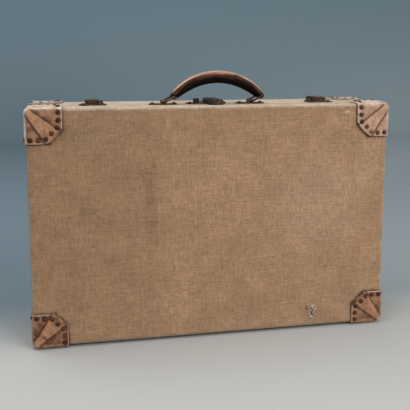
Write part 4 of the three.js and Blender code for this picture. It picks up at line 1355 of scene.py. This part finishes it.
def build_fittings():
    bright, base, dark = metal_tones()
    edge = settings().metal.round_off
    plate = metal_finish("plate metal", (bright, base, dark), 0.55, 0.5, 0.55)
    body = metal_finish("latch metal", (bright, base, dark), 0.55, 0.5, 0.3)
    worn = metal_finish("hasp metal", (bright, base, dark), 0.55, 0.46, 0.85)
    button = metal_finish("button metal", (base, dark, dark), 0.55, 0.45, 0.4)
    steel = metal_finish("steel", STEEL_TONES, 0.9, 0.38, 0.5)
    for latch in LATCHES:
        finish_node(f"{latch}_plate", plate, edge)
        finish_node(f"{latch}_case", body, edge)
        finish_node(f"{latch}_slide_bolt", button if latch == "lock" else body, edge)
        finish_node(f"{latch}_hasp", worn, edge)
        finish_node(f"{latch}_hasp_leaf", plate, edge)
        finish_node(f"{latch}_hasp_pin", steel, FINE_EDGE)
    finish_node("lock_cam", steel, FINE_EDGE)
    for side in ("left", "right"):
        finish_node(f"handle_plate_{side}", plate, edge)
        for leaf in ("base_leaf", "lid_leaf"):
            finish_node(f"hinge_{side}_{leaf}", plate, FINE_EDGE)
        finish_node(f"hinge_{side}_pin", steel, FINE_EDGE)
    build_rivets()
    build_springs(steel)


def build_rivets():
    metal = settings().metal
    finish = nail_finish()
    level = CASE_TOP + metal.plate
    for half in HALVES:
        heads = []
        for body, x, y, radius in RIVETS:
            if body == half:
                tall = metal.rivet_height * radius / RIVET
                heads.append(((x * MM, y * MM, level), (0, 0, 1), radius * MM, tall, 0.3 * MM))
        tones = np.random.default_rng(len(heads)).uniform(0.2, 0.7, len(heads))
        mesh = heads_mesh(f"rivets_{half}", heads, {"tone": tones, "faded": np.zeros(len(heads))}, 24)
        place_object(f"rivets_{half}", mesh, finish, half)


def build_springs(finish):
    """Coils round the slide bolts."""
    radius, wire, turns, steps, level = 2 * MM, 0.3 * MM, 4, 16, CASE_TOP + 3.9 * MM
    for latch, joint, side, y, fixed, moving, keep in SPRINGS:
        middle = LATCHES[latch]
        start, end = fixed * MM - wire, moving * MM + wire
        path = []
        for k in range(turns * steps + 1):
            part, turn = k / (turns * steps), 2 * math.pi * k / steps
            x = middle * MM + side * (start + (end - start) * part)
            path.append(Vector((x, y * MM + radius * math.cos(turn), level + radius * math.sin(turn))))
        mesh = mesh_of(f"{latch}_coil", *round_wire(path, wire, 8))
        coil = place_object(f"{latch}_coil", mesh, finish, "base", [f"{latch}_spring"])
        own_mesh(coil)


# Studio.

# Colours of the paper: under the case, behind it at the left and the right, up the right side, at the top.
# The darker left and the lighter right side are painted shade and painted light.
PALE_PAPER = (0.41, 0.41, 0.395)
LEFT_PAPER = (0.14, 0.185, 0.215)
RIGHT_PAPER = (0.225, 0.25, 0.265)
RIGHT_WALL_PAPER = (0.28, 0.325, 0.34)
TOP_PAPER = (0.18, 0.25, 0.285)

# Lamps: name, place, what it is aimed at, size, power and tint.
LAMPS = (
    ("key lamp", (-0.5, 0.1, 2.3), (0, 0, 0.35), (2.4, 2.0), 43, (1.0, 0.985, 0.96)),
    ("fill lamp", (2.5, -3.4, 2.6), (0.1, 0, 0.2), (3.2, 2.6), 164, (1.0, 0.98, 0.95)),
    ("back lamp", (-3.0, 2.0, 2.0), (0, 0, 0.2), (2.4, 2.0), 24, (1.0, 0.98, 0.96)),
)


def place_camera():
    studio = settings().studio
    turn, tilt, roll = studio.camera_turn
    ahead = Vector((math.sin(turn) * math.cos(tilt), math.cos(turn) * math.cos(tilt), -math.sin(tilt)))
    right = Vector((math.cos(turn), -math.sin(turn), 0))
    up = right.cross(ahead)
    across = right * math.cos(roll) + up * math.sin(roll)
    above = up * math.cos(roll) - right * math.sin(roll)
    camera = bpy.data.cameras.new("camera")
    camera.lens = studio.lens
    camera.sensor_width = 36
    camera.shift_x, camera.shift_y = studio.shift
    camera.clip_start, camera.clip_end = 0.05, 30
    holder = bpy.data.objects.new("camera", camera)
    facing = Matrix((across, above, -ahead)).transposed().to_4x4()
    holder.matrix_world = Matrix.Translation(studio.camera_place) @ facing
    bpy.context.scene.collection.objects.link(holder)
    bpy.context.scene.camera = holder


def paper_finish():
    """Pale paper under the case and blue-grey paper behind it. The blue-grey is darker at the left as
    painted shade and lighter up the right side as painted light, as light falls from the right, and it
    starts close round the case, partly as painted shadow of the case.
    """
    finish = Finish("backdrop paper", roughness=0.9, specular=0.1)
    place, run = finish.place(), finish.value("run")
    width = finish.times_plus(finish.largest(run, -0.3), 0.45, 0.84)
    side = finish.math("DIVIDE", finish.plus(finish.parts(place)[0], 0.4), width, clamp=True)
    right = finish.mix(finish.spread(run, 0.8, 2.6), RIGHT_PAPER, RIGHT_WALL_PAPER)
    wall = finish.mix(finish.spread(run, 2.8, 4.6), finish.mix(side, LEFT_PAPER, right), TOP_PAPER)
    left_edge = finish.spread(run, -0.15, 0.19)
    right_edge = finish.spread(run, -0.06, 0.11)
    behind = finish.times_plus(finish.minus(right_edge, left_edge), side, left_edge)
    finish.bump(finish.noise(place, 60), 0.5 * MM, 0.1)
    return finish.done(finish.mix(behind, PALE_PAPER, wall))


def build_backdrop():
    """A sheet of paper that lies under the case and curves up into a wall behind it."""
    half, front, bend_from, bend, top, steps = 9.0, -9.0, 2.8, 1.2, 6.0, 24
    profile = [(front, 0.0, front), (bend_from, 0.0, bend_from)]
    for step in range(1, steps + 1):
        angle = step / steps * math.pi / 2
        run = bend_from + bend * angle
        profile.append((bend_from + bend * math.sin(angle), bend * (1 - math.cos(angle)), run))
    profile.append((bend_from + bend, top, profile[-1][2] + top - bend))
    points = [(x, y, z) for y, z, _ in profile for x in (-half, half)]
    faces = [(k, k + 1, k + 3, k + 2) for k in range(0, len(points) - 2, 2)]
    runs = np.repeat([run for *_, run in profile], 2)
    mesh = mesh_of("backdrop", points, faces, notes={"run": runs})
    mesh.materials.append(paper_finish())
    backdrop = bpy.data.objects.new("backdrop", mesh)
    bpy.context.scene.collection.objects.link(backdrop)


def place_lamps():
    for name, place, aim, size, power, tint in LAMPS:
        light = bpy.data.lights.new(name, "AREA")
        light.shape = "RECTANGLE"
        light.size, light.size_y = size
        light.energy = power
        light.color = tint
        lamp = bpy.data.objects.new(name, light)
        lamp.location = place
        lamp.rotation_euler = (Vector(aim) - Vector(place)).to_track_quat("-Z", "Y").to_euler()
        bpy.context.scene.collection.objects.link(lamp)
    world = bpy.data.worlds.new("studio air")
    world.use_nodes = True
    background = world.node_tree.nodes["Background"]
    background.inputs["Color"].default_value = (0.88, 0.93, 1.0, 1.0)
    background.inputs["Strength"].default_value = 0.5
    bpy.context.scene.world = world


def build_studio():
    place_camera()
    build_backdrop()
    place_lamps()
    bpy.context.scene.view_settings.view_transform = "Standard"


# Operators.


class CASE_OT_canvas(bpy.types.Operator):
    """Lay the worn canvas over both halves"""

    bl_idname = "travelling_case.canvas"
    bl_label = "Canvas covers"

    def execute(self, context):
        build_canvas()
        return {"FINISHED"}


class CASE_OT_fray(bpy.types.Operator):
    """Pull loose threads out of the torn spot on the front"""

    bl_idname = "travelling_case.fray"
    bl_label = "Frayed spot"

    def execute(self, context):
        build_fray()
        return {"FINISHED"}


class CASE_OT_inside(bpy.types.Operator):
    """Line both halves and finish their boards and the dust lip"""

    bl_idname = "travelling_case.inside"
    bl_label = "Lining and boards"

    def execute(self, context):
        build_inside()
        return {"FINISHED"}


class CASE_OT_caps(bpy.types.Operator):
    """Fold the leather caps over the eight corners"""

    bl_idname = "travelling_case.caps"
    bl_label = "Leather caps"

    def execute(self, context):
        build_caps()
        return {"FINISHED"}


class CASE_OT_nails(bpy.types.Operator):
    """Set the domed nails in the caps"""

    bl_idname = "travelling_case.nails"
    bl_label = "Nails"

    def execute(self, context):
        build_nails()
        return {"FINISHED"}


class CASE_OT_handle(bpy.types.Operator):
    """Make the leather grip, its strap and the two rings"""

    bl_idname = "travelling_case.handle"
    bl_label = "Handle"

    def execute(self, context):
        build_handle()
        return {"FINISHED"}


class CASE_OT_fittings(bpy.types.Operator):
    """Finish the plates, latches, lock and hinges and add their rivet heads"""

    bl_idname = "travelling_case.fittings"
    bl_label = "Metal fittings"

    def execute(self, context):
        build_fittings()
        return {"FINISHED"}


class CASE_OT_studio(bpy.types.Operator):
    """Set up the floor, the backdrop, the lamps and the camera"""

    bl_idname = "travelling_case.studio"
    bl_label = "Studio"

    def execute(self, context):
        build_studio()
        return {"FINISHED"}


OPERATORS = (
    CASE_OT_studio,
    CASE_OT_canvas,
    CASE_OT_fray,
    CASE_OT_inside,
    CASE_OT_caps,
    CASE_OT_nails,
    CASE_OT_handle,
    CASE_OT_fittings,
)


class CASE_PT_panel(bpy.types.Panel):
    """Lists the steps that dress the travelling case"""

    bl_idname = "CASE_PT_panel"
    bl_label = "Travelling Case"
    bl_space_type = "VIEW_3D"
    bl_region_type = "UI"
    bl_category = "Travelling Case"

    def draw(self, context):
        for operator in OPERATORS:
            self.layout.operator(operator.bl_idname)
        for group in CaseSettings.__annotations__:
            box = self.layout.box()
            box.label(text=group.title())
            values = getattr(settings(), group)
            for key in values.__annotations__:
                box.prop(values, key)


CLASSES = (
    ClothSettings,
    CapSettings,
    NailSettings,
    HandleSettings,
    MetalSettings,
    InsideSettings,
    StudioSettings,
    CaseSettings,
    *OPERATORS,
    CASE_PT_panel,
)


def register():
    for kind in CLASSES:
        bpy.utils.register_class(kind)
    bpy.types.Scene.travelling_case = PointerProperty(type=CaseSettings)


def unregister():
    del bpy.types.Scene.travelling_case
    for kind in reversed(CLASSES):
        bpy.utils.unregister_class(kind)


def main():
    register()
    bpy.ops.travelling_case.studio()
    bpy.ops.travelling_case.canvas()
    bpy.ops.travelling_case.fray()
    bpy.ops.travelling_case.inside()
    bpy.ops.travelling_case.caps()
    bpy.ops.travelling_case.nails()
    bpy.ops.travelling_case.handle()
    bpy.ops.travelling_case.fittings()


if __name__ == "__main__":
    main()
